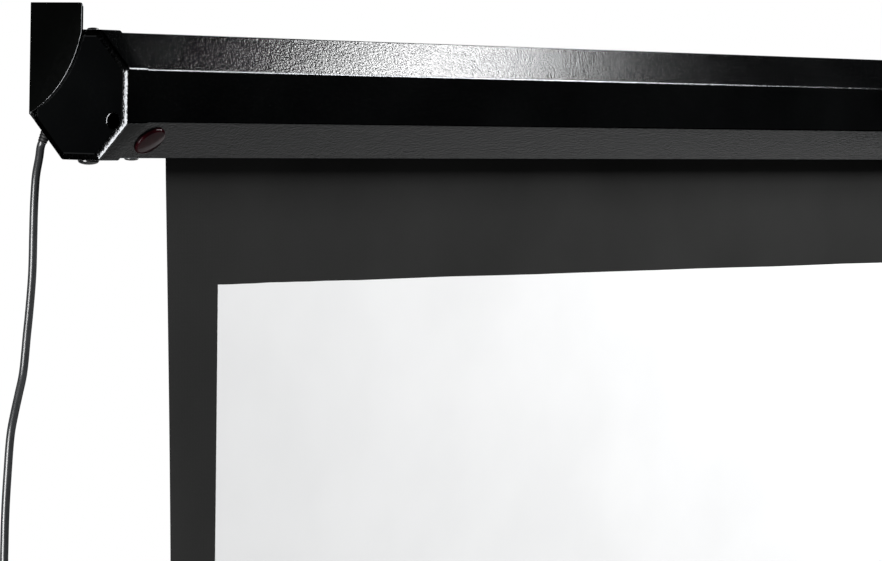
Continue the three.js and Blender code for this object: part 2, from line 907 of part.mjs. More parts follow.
// Leads from the motor and from the receiver to the control box
function motorLead() {
  const endX = boxRight - motorLeadInset;
  const endZ = boxTop - motorLeadDrop;
  const points = [
    new THREE.Vector3(headLeft - gap, motorLeadY, motorLeadZ),
    new THREE.Vector3(motorPlateX - leadStraight, motorLeadY, motorLeadZ),
    new THREE.Vector3(boxRight - leadStraight, motorLeadY, motorLeadZ - leadStraight),
    new THREE.Vector3(endX, boxFront - leadStraight * 2, endZ),
    new THREE.Vector3(endX, boxFront - leadStraight, endZ),
    new THREE.Vector3(endX, boxFront - gap, endZ),
  ];
  return cable(points, motorLeadRadius, 16, 8);
}

function receiverLead() {
  const boardBack = lensBossDepth + gap + boardThickness + gap;
  const start = lensPlace.clone().addScaledVector(lensOut, -boardBack);
  const endX = lensX - receiverLeadShift;
  const endZ = boxBottom + receiverLeadRise;
  const points = [
    start,
    start.clone().addScaledVector(lensOut, -leadStraight),
    new THREE.Vector3(endX, boxFront - leadStraight * 3, endZ),
    new THREE.Vector3(endX, boxFront - leadStraight, endZ),
    new THREE.Vector3(endX, boxFront - gap, endZ),
  ];
  return cable(points, receiverLeadRadius, 10, 8);
}

// Strain relief: a collar inside the case and a taper outside it, on the slant of the cord.
function strainRelief() {
  const profile = [
    [0, -reliefInside],
    [reliefCollarRadius, -reliefInside],
    [reliefCollarRadius, -reliefCollarStart],
    [reliefRadius, -reliefCollarStart],
    [reliefRadius, 0],
    [reliefTipRadius, reliefOutside],
    [0, reliefOutside],
  ];
  return revolve(profile, reliefExit, reliefDirection, 16);
}

// The coil lies in two layers against the wall: it winds in on the rear layer, climbs to the front
// layer in the half turn where the spiral reverses, and winds out again.
const coilHalf = coilTurns / 2;
const coilOuterRadius = coilInnerRadius + coilPitch * coilHalf;
const coilRearY = cordHang[cordHang.length - 1][1];
const coilFrontY = coilRearY - coilPitch;
const coilX = cordHang[cordHang.length - 1][0];
const coilStartAngle = Math.PI / 4;
const coilShift = coilOuterRadius * Math.SQRT1_2; // from the centre to the point where the cord joins
const coilSlant = coilShift - coilBend * (1 - Math.SQRT1_2); // the straight stretch, measured across
const coilZ = -coilDrop - coilBend * Math.SQRT1_2 - coilSlant - coilShift;
const coilJoin = new THREE.Vector3(coilX + coilShift, coilRearY, coilZ + coilShift);
const coilHeading = new THREE.Vector3(Math.SQRT1_2, 0, -Math.SQRT1_2);

const stepsPerTurn = 24;

function coilPoint(turn) {
  const fromMiddle = turn - coilHalf;
  const radius = coilInnerRadius + coilPitch * Math.hypot(fromMiddle, coilReversal);
  const climb = THREE.MathUtils.smoothstep(fromMiddle, -coilClimb, coilClimb);
  const angle = coilStartAngle - turn * Math.PI * 2;
  return new THREE.Vector3(
    coilX + radius * Math.cos(angle),
    coilRearY - coilPitch * climb,
    coilZ + radius * Math.sin(angle),
  );
}

function coilPoints() {
  const steps = Math.round(coilTurns * stepsPerTurn);
  const points = [coilJoin.clone().addScaledVector(coilHeading, -cordDiameter)];
  for (let i = 0; i <= steps; i += 1) points.push(coilPoint((i / steps) * coilTurns));
  const last = points[points.length - 1];
  points.push(last.clone().addScaledVector(down, cordDiameter));
  points.push(last.clone().addScaledVector(down, coilTail));
  return points;
}

// A tube of flat-sided rings at given points, each ring square to the path there.
function ringTube(points, radius, sides) {
  const positions = [];
  const faces = [];
  const across = new THREE.Vector3(0, 1, 0);
  points.forEach((point, i) => {
    const before = points[Math.max(i - 1, 0)];
    const after = points[Math.min(i + 1, points.length - 1)];
    const heading = after.clone().sub(before).normalize();
    const outward = new THREE.Vector3().crossVectors(across, heading).normalize();
    const side = new THREE.Vector3().crossVectors(heading, outward);
    for (let j = 0; j < sides; j += 1) {
      const angle = (j / sides) * Math.PI * 2;
      const corner = point
        .clone()
        .addScaledVector(outward, radius * Math.cos(angle))
        .addScaledVector(side, radius * Math.sin(angle));
      positions.push(corner.x, corner.y, corner.z);
    }
  });
  const at = (ring, corner) => ring * sides + (corner % sides);
  for (let i = 0; i + 1 < points.length; i += 1) {
    for (let j = 0; j < sides; j += 1) {
      faces.push(at(i, j), at(i, j + 1), at(i + 1, j));
      faces.push(at(i, j + 1), at(i + 1, j + 1), at(i + 1, j));
    }
  }
  for (let j = 1; j + 1 < sides; j += 1) {
    faces.push(0, j + 1, j);
    faces.push(at(points.length - 1, 0), at(points.length - 1, j), at(points.length - 1, j + 1));
  }
  const geometry = new THREE.BufferGeometry();
  geometry.setAttribute("position", new THREE.Float32BufferAttribute(positions, 3));
  geometry.setIndex(faces);
  geometry.computeVertexNormals();
  return geometry;
}

function cordCoil() {
  const points = coilPoints();
  let least = Infinity;
  points.forEach((point, i) => {
    for (const other of points.slice(i + stepsPerTurn / 2)) {
      least = Math.min(least, point.distanceTo(other));
    }
  });
  console.log(`least gap of the coil to itself: ${(least - cordDiameter).toFixed(2)} mm`);
  return ringTube(points, cordRadius, 6);
}

function powerCord() {
  const start = reliefTip.clone().addScaledVector(reliefDirection, gap);
  const points = [start, start.clone().addScaledVector(reliefDirection, cordDiameter / 2)];
  for (const place of cordHang) points.push(new THREE.Vector3(...place));
  const bends = 3;
  for (let i = 0; i <= bends; i += 1) {
    const angle = (i / bends) * (Math.PI / 4);
    points.push(
      new THREE.Vector3(
        coilX + coilBend * (1 - Math.cos(angle)),
        coilRearY,
        -coilDrop - coilBend * Math.sin(angle),
      ),
    );
  }
  const end = coilJoin.clone().addScaledVector(coilHeading, -cordDiameter - gap);
  points.push(end.clone().addScaledVector(coilHeading, -cordDiameter), end);
  return cable(points, cordRadius, 30, 10);
}

// A strap round all the turns of the coil.
function cordTie() {
  const angle = THREE.MathUtils.degToRad(tieAngle);
  const innerEdge = coilInnerRadius - cordRadius - gap * 4;
  const outerEdge = coilOuterRadius + cordRadius + gap;
  const low = coilFrontY - cordRadius - gap;
  const high = coilRearY + cordRadius + gap;
  const band = roundedRectangle(
    innerEdge - tieThickness,
    low - tieThickness,
    outerEdge + tieThickness,
    high + tieThickness,
    tieCorner + tieThickness,
  );
  band.holes.push(roundedRectangle(innerEdge, low, outerEdge, high, tieCorner));
  const strap = alongZ(band, -tieWidth / 2, tieWidth / 2, 2);
  return strap.rotateY(-angle).translate(coilX, 0, coilZ);
}

// Plug, hanging from the end of the cord
const plugPlace = coilPoint(coilTurns).add(new THREE.Vector3(0, 0, -coilTail - gap));
const plugFace = -plugBootLength - plugLength;

function plugBody() {
  const boot = revolve(
    [
      [0, 0],
      [cordRadius + gap, 0],
      [plugBootRadius, plugBootLength + bite],
      [0, plugBootLength + bite],
    ],
    new THREE.Vector3(),
    down,
    16,
  );
  const half = { x: plugWidth / 2, y: plugDepth / 2 };
  const body = roundedRectangle(-half.x, -half.y, half.x, half.y, plugCorner);
  return join(boot, alongZ(body, plugFace, -plugBootLength, 4));
}

function plugBlade(side) {
  const x = (side * bladeSpacing) / 2;
  const rear = earthPinOffset / 2;
  return box(
    x - bladeThickness / 2,
    rear - bladeWidth,
    plugFace - bladeLength,
    x + bladeThickness / 2,
    rear,
    plugFace - gap,
  );
}

function earthPin() {
  const place = new THREE.Vector3(0, earthPinOffset, plugFace - gap);
  return rod(place, down, earthPinRadius, 0, earthPinLength, 12);
}

// The assembly, moved so that its origin is on the wall, in the middle of the left bracket's flange
const model = new THREE.Group();
const inner = new THREE.Group();
inner.position.set(-mountX, -wallY, -mountZ);
model.add(inner);

function add(parent, name, geometry, material) {
  const mesh = new THREE.Mesh(geometry, material);
  mesh.name = name;
  parent.add(mesh);
}

function addEnd(side) {
  const end = new THREE.Group();
  if (side === "right") {
    end.position.x = totalLength;
    end.scale.x = -1;
  }
  inner.add(end);
  const top = new THREE.Vector3(capScrewX, topScrewY, capHeight);
  const bottom = new THREE.Vector3(capScrewX, lowerScrewY, 0);
  add(end, `${side}_end_cap`, endCap(side === "left"), materials.sandCoat);
  add(end, `${side}_wall_bracket`, wallBracket(), materials.smoothCoat);
  add(end, `${side}_cap_top_screw`, domedScrew(top, up, topScrewHead), materials.blackScrew);
  add(end, `${side}_cap_lower_screw`, domedScrew(bottom, down, lowerScrewHead), materials.blackScrew);
  for (const stud of studs) {
    add(end, `${side}_bracket_nut_${stud.label}`, studNut(stud), materials.zincSteel);
  }
}

function addCase() {
  const footScrew = (x) =>
    domedScrew(new THREE.Vector3(x, footScrewY, caseInset), down, footScrewHead);
  add(inner, "case_shell", caseShell(), materials.sandCoat);
  addEnd("left");
  addEnd("right");
  add(inner, "motor_support", motorSupport(), materials.zincSteel);
  add(inner, "motor_support_screw", footScrew(motorFootScrewX), materials.blackScrew);
  add(inner, "idler_support", idlerSupport(), materials.zincSteel);
  add(inner, "idler_support_screw", footScrew(idlerFootScrewX), materials.blackScrew);
  add(inner, "idler_bearing", idlerBearing(), materials.whitePlastic);
  add(inner, "ir_lens", irLens(), materials.redLens);
  add(inner, "ir_lens_nut", irLensNut(), materials.blackPlastic);
}

function addDrive() {
  const depth = lensBossDepth + gap;
  const wheelShape = [plugRadius, shaftRadius + gap];
  add(inner, "motor_head", motorHead(), materials.blackPlastic);
  add(inner, "motor_tube", motorTube(), materials.zincSteel);
  add(inner, "limit_screw_up", limitScrew(limitScrews[0]), materials.whitePlastic);
  add(inner, "limit_screw_down", limitScrew(limitScrews[1]), materials.whitePlastic);
  const roller = sleeve(rollerRadius, rollerInner, rollerLeft, rollerRight);
  add(inner, "roller_tube", roller, materials.aluminium);
  add(inner, "cloth_wrap", sleeve(wrapOuter, wrapInner, clothLeft, clothRight), materials.border);
  add(inner, "crown_ring", crownRing(), materials.whitePlastic);
  add(
    inner,
    "drive_wheel",
    sleeve(...wheelShape, driveWheelLeft, driveWheelLeft + driveWheelLength),
    materials.blackPlastic,
  );
  add(inner, "drive_shaft", driveShaft(), materials.zincSteel);
  add(inner, "idler_plug", idlerPlug(), materials.blackPlastic);
  add(inner, "idler_pin", idlerPin(), materials.zincSteel);
  add(
    inner,
    "receiver_board",
    behindLens(boardLength, boardWidth, boardThickness, depth + boardThickness),
    materials.board,
  );
  add(
    inner,
    "ir_sensor",
    behindLens(sensorSide, sensorSide, sensorHeight, depth - gap),
    materials.blackPlastic,
  );
  add(inner, "control_box", controlBox(), materials.blackPlastic);
  add(inner, "control_box_lid", controlBoxLid(), materials.blackPlastic);
  add(inner, "control_board", controlBoard(), materials.board);
  add(inner, "relay_up", relay(0), materials.blackPlastic);
  add(inner, "relay_down", relay(1), materials.blackPlastic);
  add(inner, "motor_lead", motorLead(), materials.cord);
  add(inner, "receiver_lead", receiverLead(), materials.cord);
}

function addScreen() {
  add(inner, "screen_border", border(), materials.border);
  add(inner, "picture_surface", picture(), materials.picture);
  add(inner, "weight_bar", weightBar(), materials.smoothCoat);
  const rodShape = disc(clothY, hemRodZ, hemRodRadius);
  add(inner, "hem_rod", alongX(rodShape, barLeft, barRight, 6), materials.whitePlastic);
  add(inner, "left_bar_cap", barEndCap(), materials.blackPlastic);
  const right = new THREE.Group();
  right.position.x = clothLeft + clothRight;
  right.scale.x = -1;
  inner.add(right);
  add(right, "right_bar_cap", barEndCap(), materials.blackPlastic);
}

function addCord() {
  add(inner, "strain_relief", strainRelief(), materials.blackPlastic);
  add(inner, "power_cord", powerCord(), materials.cord);
  add(inner, "cord_coil", cordCoil(), materials.cord);
  add(inner, "cord_tie", cordTie(), materials.blackPlastic);
  const plug = new THREE.Group();
  plug.position.copy(plugPlace);
  inner.add(plug);
  add(plug, "plug_body", plugBody(), materials.cord);
  add(plug, "plug_blade_left", plugBlade(-1), materials.brass);
  add(plug, "plug_blade_right", plugBlade(1), materials.brass);
  add(plug, "plug_earth_pin", earthPin(), materials.brass);
}

console.log(`travel of the weight bar: ${barTravel} mm`);

addCase();
addDrive();
addScreen();
addCord();

export default model;
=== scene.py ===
import math
from functools import cache, partial

import bmesh
import bpy
from mathutils import Matrix, Quaternion, Vector


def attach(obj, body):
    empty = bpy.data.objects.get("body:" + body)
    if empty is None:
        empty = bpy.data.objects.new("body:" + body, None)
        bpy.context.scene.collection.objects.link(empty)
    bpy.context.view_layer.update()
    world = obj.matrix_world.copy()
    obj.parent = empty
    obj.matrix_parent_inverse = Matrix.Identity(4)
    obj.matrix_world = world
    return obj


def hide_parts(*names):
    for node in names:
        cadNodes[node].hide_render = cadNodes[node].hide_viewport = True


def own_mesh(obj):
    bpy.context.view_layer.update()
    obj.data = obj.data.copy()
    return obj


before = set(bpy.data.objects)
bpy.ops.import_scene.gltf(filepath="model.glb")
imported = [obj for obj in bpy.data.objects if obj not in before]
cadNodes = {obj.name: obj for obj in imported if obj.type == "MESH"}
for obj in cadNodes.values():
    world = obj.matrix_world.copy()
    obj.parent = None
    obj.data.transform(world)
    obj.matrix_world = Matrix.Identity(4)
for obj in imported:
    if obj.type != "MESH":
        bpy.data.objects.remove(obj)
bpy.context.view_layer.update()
scene = bpy.context.scene
caseOrigin = Vector((19, 95, 71.85))  # of the row frame, on the drawing
caseLength = 2134
millimetre = 0.001
quarterTurn = math.pi / 2
print("frame loaded:", len(cadNodes), "nodes")


def at(x, y, z):
    return (Vector((x, y, z)) - caseOrigin) * millimetre


def placed(name, data):
    body = bpy.data.objects.new(name, data)
    scene.collection.objects.link(body)
    return body


# Angles over a span, both ends included
def turns(steps, span=quarterTurn, start=0):
    return [start + step / steps * span for step in range(steps + 1)]


# Camera: a long lens from the front left, a little below the case
camera = {
    "place": (-2454.44, -2149.64, 48.79),
    "yaw": 52.8426,
    "pitch": -2.306,
    "roll": 1.1018,
    "focalPixels": 4467.466,
    "frameWidth": 882,
    "sensor": 36,
    "clip": (0.05, 200),
}


def makeCamera():
    yaw, pitch, roll = (math.radians(camera[angle]) for angle in ("yaw", "pitch", "roll"))
    level = math.cos(pitch)
    ahead = Vector((math.sin(yaw) * level, math.cos(yaw) * level, math.sin(pitch)))
    right = Vector((math.cos(yaw), -math.sin(yaw), 0))
    above = right.cross(ahead)
    rolledRight = right * math.cos(roll) + above * math.sin(roll)
    rolledAbove = above * math.cos(roll) - right * math.sin(roll)
    lens = bpy.data.cameras.new("photoCamera")
    lens.sensor_fit = "HORIZONTAL"
    lens.sensor_width = camera["sensor"]
    lens.lens = camera["focalPixels"] * camera["sensor"] / camera["frameWidth"]
    lens.clip_start, lens.clip_end = camera["clip"]
    body = placed("photoCamera", lens)
    turn = Matrix((rolledRight, rolledAbove, -ahead)).transposed().to_4x4()
    body.matrix_world = Matrix.Translation(at(*camera["place"])) @ turn
    scene.camera = body


makeCamera()


# Nodes: a number or another node's socket goes into each named input
def link(tree, value, socket):
    if isinstance(value, bpy.types.NodeSocket):
        tree.links.new(value, socket)
    else:
        socket.default_value = value


def addNode(tree, kind, settings=None, **values):
    node = tree.nodes.new(kind)
    for label, value in (settings or {}).items():
        setattr(node, label, value)
    for label, value in values.items():
        link(tree, value, node.inputs[label.replace("_", " ")])
    return node


def mathNode(tree, kind, operation, values):
    node = addNode(tree, kind, {"operation": operation})
    for value, socket in zip(values, node.inputs):
        link(tree, value, socket)
    return node.outputs


def mathOf(tree, operation, *values):
    return mathNode(tree, "ShaderNodeMath", operation, values)[0]


def vectorMath(tree, operation, *values):
    outputs = mathNode(tree, "ShaderNodeVectorMath", operation, values)
    return outputs["Value" if operation == "DOT_PRODUCT" else "Vector"]


def mixOf(tree, factor, first, second):
    node = addNode(tree, "ShaderNodeMix", {"data_type": "RGBA"}, Factor=factor)
    firstColour, secondColour, mixedColour = node.inputs[6], node.inputs[7], node.outputs[2]
    link(tree, first, firstColour)
    link(tree, second, secondColour)
    return mixedColour


def spread(tree, value, low, high, fromLow=0.3, fromHigh=0.7):
    limits = {"From_Min": fromLow, "From_Max": fromHigh, "To_Min": low, "To_Max": high}
    return addNode(tree, "ShaderNodeMapRange", Value=value, **limits).outputs["Result"]


tintStops = (0.35, 0.65)


def tint(tree, value, dark, light):
    ramp = addNode(tree, "ShaderNodeValToRGB", Fac=value)
    for stop, position, colour in zip(ramp.color_ramp.elements, tintStops, (dark, light)):
        stop.position = position
        stop.color = (*colour, 1)
    return ramp.outputs["Color"]


def placeOf(tree, source="Object", stretch=(1, 1, 1)):
    place = tree.nodes.new("ShaderNodeTexCoord").outputs[source]
    return addNode(tree, "ShaderNodeMapping", Vector=place, Scale=stretch).outputs["Vector"]


# Patterns: noise, cells, the lines of drawn metal, and a weave whose size is the width of a thread
drawnStretch = 4
weaveDistortion = 0.3
threadsInScale = 20


def patternOf(tree, source, kind, size, detail=2.0, rough=0.5):
    drawn = kind == "drawn"
    place = placeOf(tree, source, (drawnStretch, size, size) if drawn else (1, 1, 1))
    if kind == "cells":
        return addNode(tree, "ShaderNodeTexVoronoi", Vector=place, Scale=size).outputs["Distance"]
    if kind == "weave":
        values = {"Scale": 1 / size / threadsInScale, "Distortion": weaveDistortion}
        waves = [
            addNode(tree, "ShaderNodeTexWave", {"bands_direction": axis}, Vector=place, **values)
            for axis in ("X", "Y")
        ]
        return mathOf(tree, "MULTIPLY", *(wave.outputs["Fac"] for wave in waves))
    values = {"Scale": 1 if drawn else size, "Detail": detail, "Roughness": rough}
    return addNode(tree, "ShaderNodeTexNoise", Vector=place, **values).outputs["Fac"]


# Painted highlight: folds and rounded edges, whose faces stand neither square nor at 45
# degrees, are mixed to a bright metal so that they show as highlight lines
paintedEdgeSheen = {"colour": (0.082, 0.084, 0.087), "from": 0.066, "full": 0.068}


# Mask of the painted highlight on folds and rounded edges
def paintedSheenMask(tree):
    normal = tree.nodes.new("ShaderNodeNewGeometry").outputs["True Normal"]
    squares = vectorMath(tree, "MULTIPLY", normal, normal)
    fromDiagonal = vectorMath(tree, "SUBTRACT", squares, (0.5, 0.5, 0.5))
    fromSquare = vectorMath(tree, "SUBTRACT", squares, (1, 1, 1))
    both = vectorMath(tree, "MULTIPLY", fromDiagonal, fromSquare)
    stray = vectorMath(tree, "ABSOLUTE", vectorMath(tree, "MULTIPLY", both, normal))
    total = vectorMath(tree, "DOT_PRODUCT", stray, (1, 1, 1))
    return spread(tree, total, 0, 1, paintedEdgeSheen["from"], paintedEdgeSheen["full"])


# Finishes: fixed sockets of the shader, the pattern and range of the colour and the roughness, and
# the strength and depth of the relief with the weights of the patterns that raise it
finishSizes = {
    "sandCoat": {
        "base": {"Specular IOR Level": 0.15, "Specular Tint": (0.93, 0.96, 1, 1)},
        # painted highlight on folds and rounded edges
        "paintedSheen": True,
        "colour": (("noise", 9, 3), (0.0009, 0.001, 0.0011), (0.002, 0.0022, 0.0023)),
        "roughness": (("noise", 500, 2, 0.55), 0.09, 0.18),
        "relief": (0.9, 0.00019),
        "height": {("cells", 520): 0.25, ("noise", 760, 1, 0.6): 0.3, ("noise", 500, 2, 0.55): 1},
    },
    "smoothCoat": {
        "base": {"Specular IOR Level": 0.2},
        # painted highlight on folds and rounded edges
        "paintedSheen": True,
        "colour": (("noise", 14, 3), (0.0009, 0.001, 0.0009), (0.0015, 0.0017, 0.0016)),
        "roughness": (("noise", 260, 2), 0.13, 0.19),
        "relief": (0.12, 0.0001),
        "height": {("noise", 260, 2): 1},
    },
    "screwBlack": {
        "base": {"Specular IOR Level": 0.8, "Coat Weight": 0.4, "Coat Roughness": 0.12},
        "colour": (("noise", 900, 2), (0.004, 0.0045, 0.005), (0.009, 0.0095, 0.01)),
        "roughness": (("noise", 900, 2), 0.16, 0.28),
        "relief": (0.05, 0.00005),
        "height": {("noise", 900, 2): 1},
    },
    "redLens": {
        "base": {"Specular IOR Level": 0.12, "Specular Tint": (1, 0.9, 0.92, 1), "IOR": 1.49},
        "colour": (("noise", 160, 3), (0.008, 0.001, 0.0018), (0.017, 0.002, 0.0032)),
        "roughness": (("noise", 160, 3), 0.08, 0.16),
        "relief": (0.04, 0.00006),
        "height": {("noise", 160, 3): 1},
    },
    "cordSheath": {
        "base": {"Specular IOR Level": 0.9, "Coat Weight": 1, "Coat Roughness": 0.22},
        "colour": (("noise", 45, 3), (0.022, 0.0236, 0.025), (0.033, 0.035, 0.037)),
        "roughness": (("noise", 1400, 2), 0.26, 0.4),
        "relief": (0.15, 0.00008),
        "height": {("noise", 1400, 2): 1},
    },
    "strapCloth": {
        "base": {"Roughness": 0.9, "Sheen Weight": 0.3, "Specular IOR Level": 0.2},
        "colour": (("noise", 500, 2), (0.004, 0.004, 0.0042), (0.012, 0.012, 0.0125)),
        "relief": (0.7, 0.0003),
        "height": {("cells", 1600): 1},
    },
    "zincPlate": {
        "base": {"Metallic": 1.0},
        "colour": (("noise", 320, 4, 0.6), (0.36, 0.37, 0.38), (0.6, 0.61, 0.6)),
        "roughness": (("noise", 320, 4, 0.6), 0.28, 0.48),
        "relief": (0.1, 0.00008),
        "height": {("noise", 320, 4, 0.6): 1},
    },
    "drawnAluminium": {
        "base": {"Metallic": 1.0},
        "colour": (("noise", 60, 4, 0.6), (0.52, 0.53, 0.54), (0.66, 0.67, 0.68)),
        "roughness": (("noise", 60, 4, 0.6), 0.3, 0.42),
        "relief": (0.1, 0.00008),
        "height": {("drawn", 900, 3): 1},
    },
    "blackAluminium": {
        "base": {"Metallic": 0.0},
        "colour": (("noise", 40, 4, 0.6), (0.0035, 0.0038, 0.004), (0.007, 0.0074, 0.0078)),
        "roughness": (("noise", 40, 4, 0.6), 0.34, 0.46),
        "relief": (0.1, 0.00008),
        "height": {("drawn", 700, 3): 1},
    },
    "brassPins": {
        "base": {"Metallic": 1.0},
        "colour": (("noise", 260, 4, 0.6), (0.5, 0.34, 0.12), (0.68, 0.5, 0.22)),
        "roughness": (("noise", 260, 4, 0.6), 0.2, 0.38),
        "relief": (0.1, 0.00008),
        "height": {("noise", 260, 4, 0.6): 1},
    },
    "blackPlastic": {
        "base": {"Specular IOR Level": 0.45},
        "colour": (("noise", 30, 4), (0.005, 0.005, 0.0052), (0.0095, 0.0095, 0.01)),
        "roughness": (("noise", 30, 4), 0.38, 0.55),
        "relief": (0.25, 0.00012),
        "height": {("cells", 800): 1},
    },
    "whitePlastic": {
        "base": {"Specular IOR Level": 0.45},
        "colour": (("noise", 30, 4), (0.6, 0.6, 0.57), (0.72, 0.72, 0.69)),
        "roughness": (("noise", 30, 4), 0.35, 0.5),
        "relief": (0.12, 0.00012),
        "height": {("cells", 500): 1},
    },
    "circuitBoard": {
        "base": {"Specular IOR Level": 0.45},
        "colour": (("noise", 30, 4), (0.006, 0.06, 0.024), (0.014, 0.11, 0.045)),
        "roughness": (("noise", 30, 4), 0.25, 0.45),
        "relief": (0.2, 0.00012),
        "height": {("cells", 300): 1},
    },
    "relayCase": {
        "base": {"Specular IOR Level": 0.45},
        "colour": (("noise", 30, 4), (0.012, 0.014, 0.02), (0.02, 0.023, 0.03)),
        "roughness": (("noise", 30, 4), 0.28, 0.42),
        "relief": (0.1, 0.00012),
        "height": {("cells", 600): 1},
    },
    "borderCloth": {
        "map": "UV",
        "base": {"Sheen Weight": 0.02, "Sheen Roughness": 0.4, "Specular IOR Level": 0.12},
        "colour": (("noise", 7, 4), (0.0142, 0.0145, 0.0142), (0.0186, 0.0189, 0.0186)),
        "roughness": (("noise", 900, 2), 0.72, 0.86),
        "relief": (0.35, 0.00006),
        "height": {("weave", 0.0006): 1, ("noise", 900, 2): 1},
    },
    "pictureCloth": {
        "map": "UV",
        "base": {"Sheen Weight": 0.05, "Sheen Roughness": 0.4, "Specular IOR Level": 0.12},
        "colour": (("noise", 7, 4), (0.84, 0.845, 0.85), (0.88, 0.885, 0.89)),
        "roughness": (("noise", 900, 2), 0.8, 0.92),
        "relief": (0.12, 0.00006),
        "height": {("weave", 0.0005): 1, ("noise", 900, 2): 1},
    },
}


def startFinish(name):
    finish = bpy.data.materials.new(name)
    finish.use_nodes = True
    return finish, finish.node_tree, finish.node_tree.nodes["Principled BSDF"]


def makeFinish(name, settings):
    finish, tree, shader = startFinish(name)
    lay = cache(partial(patternOf, tree, settings.get("map", "Object")))
    pattern, dark, light = settings["colour"]
    sockets = {"Base Color": tint(tree, lay(*pattern), dark, light)}
    if "roughness" in settings:
        pattern, low, high = settings["roughness"]
        sockets["Roughness"] = spread(tree, lay(*pattern), low, high)
    # Painted highlight: folds and rounded edges are mixed to a bright metal
    if "paintedSheen" in settings:
        paintedSheen = paintedSheenMask(tree)
        sockets["Base Color"] = mixOf(tree, paintedSheen, sockets["Base Color"], (*paintedEdgeSheen["colour"], 1))
        sockets["Metallic"] = paintedSheen
    height = 0
    for pattern, weight in settings["height"].items():
        height = mathOf(tree, "ADD", mathOf(tree, "MULTIPLY", lay(*pattern), weight), height)
    strength, depth = settings["relief"]
    bump = addNode(tree, "ShaderNodeBump", Height=height, Strength=strength, Distance=depth)
    sockets["Normal"] = bump.outputs["Normal"]
    for label, value in {**settings["base"], **sockets}.items():
        link(tree, value, shader.inputs[label])
    return finish


finishes = {name: makeFinish(name, settings) for name, settings in finishSizes.items()}
print("finishes made:", len(finishes))


# Meshes
def dress(mesh, finish, smoothAngle):
    mesh.materials.clear()
    mesh.materials.append(finishes[finish])
    if smoothAngle is not None:
        mesh.shade_smooth()
        mesh.set_sharp_from_angle(angle=math.radians(smoothAngle))


def repairNormals(mesh):
    shape = bmesh.new()
    shape.from_mesh(mesh)
    bmesh.ops.remove_doubles(shape, verts=shape.verts, dist=1e-7)
    bmesh.ops.recalc_face_normals(shape, faces=shape.faces)
    shape.to_mesh(mesh)
    shape.free()


# A piece from points on the drawing and faces
def newPiece(name, parts, finish, smoothAngle=None, repaired=True):
    points, faces = parts
    mesh = bpy.data.meshes.new(name)
    mesh.from_pydata([at(*point) for point in points], [], faces)
    mesh.validate()
    dress(mesh, finish, smoothAngle)
    if repaired:
        repairNormals(mesh)
    return placed(name, mesh)


# A body for a boolean, which is removed once that is baked
def newHelper(name, points, faces):
    mesh = bpy.data.meshes.new(name)
    mesh.from_pydata([tuple(point) for point in points], [], faces)
    repairNormals(mesh)
    return placed(name, mesh)


# Applies the modifiers and cuts faces of more than four corners into triangles.
def bake(piece, finish, smoothAngle=None):
    graph = bpy.context.evaluated_depsgraph_get()
    mesh = bpy.data.meshes.new_from_object(piece.evaluated_get(graph))
    piece.modifiers.clear()
    shape = bmesh.new()
    shape.from_mesh(mesh)
    large = [face for face in shape.faces if len(face.verts) > 4]
    bmesh.ops.triangulate(shape, faces=large, ngon_method="EAR_CLIP")
    shape.to_mesh(mesh)
    shape.free()
    piece.data = mesh
    dress(mesh, finish, smoothAngle)
    return piece


def addBoolean(piece, helper, operation):
    modifier = piece.modifiers.new(helper.name, "BOOLEAN")
    modifier.operation = operation
    modifier.object = helper
    modifier.solver = "EXACT"


def addBevel(piece, width, segments, limit):
    modifier = piece.modifiers.new("roundEdges", "BEVEL")
    modifier.width = width * millimetre
    modifier.segments = segments
    modifier.limit_method = "ANGLE"
    modifier.angle_limit = math.radians(limit)


def seat(piece, body, slot, *replaced):
    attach(piece, body)
    if replaced:
        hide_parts(*replaced)
    return piece


# Faces between two rings of points, given by the number of their first point
def band(near, far, count, flipped=False):
    faces = []
    for step in range(count):
        after = (step + 1) % count
        face = (near + step, near + after, far + after, far + step)
        faces.append(face[::-1] if flipped else face)
    return faces


def loft(rings):
    points = [point for ring in rings for point in ring]
    count = len(rings[0])
    faces = []
    for ring in range(len(rings) - 1):
        faces += band(ring * count, (ring + 1) * count, count)
    faces.append(tuple(reversed(range(count))))
    faces.append(tuple(range(len(points) - count, len(points))))
    return points, faces


# Turns a profile of radius and height about a line; a radius of 0 closes the end.
def revolve(profile, place, direction, segments):
    direction = Vector(direction).normalized()
    side = direction.orthogonal().normalized()
    across = direction.cross(side)
    place = Vector(place)
    points = []
    rings = []
    for radius, height in profile:
        count = segments if radius else 1
        rings.append(list(range(len(points), len(points) + count)))
        for step in range(count):
            angle = step / segments * math.tau
            out = side * math.cos(angle) + across * math.sin(angle)
            points.append(place + out * radius + direction * height)
    faces = []
    for lower, upper in zip(rings, rings[1:]):
        for step in range(segments):
            after = (step + 1) % segments
            face = [lower[step % len(lower)], lower[after % len(lower)]]
            face += [upper[after % len(upper)], upper[step % len(upper)]]
            unique = list(dict.fromkeys(face))
            if len(unique) > 2:
                faces.append(unique)
    return points, faces


# A copy of a CAD node with its flat faces joined and its edges rounded
softening = {"merge": 1e-6, "flat": 1, "limit": 35, "smoothAngle": 40}


def softened(name, node, finish, width, segments=2):
    shape = bmesh.new()
    shape.from_mesh(cadNodes[node].data)
    bmesh.ops.remove_doubles(shape, verts=shape.verts, dist=softening["merge"])
    flat = math.radians(softening["flat"])
    bmesh.ops.dissolve_limit(shape, angle_limit=flat, verts=shape.verts, edges=shape.edges)
    mesh = bpy.data.meshes.new(name)
    shape.to_mesh(mesh)
    shape.free()
    piece = placed(name, mesh)
    addBevel(piece, width, segments, softening["limit"])
    return bake(piece, finish, softening["smoothAngle"])


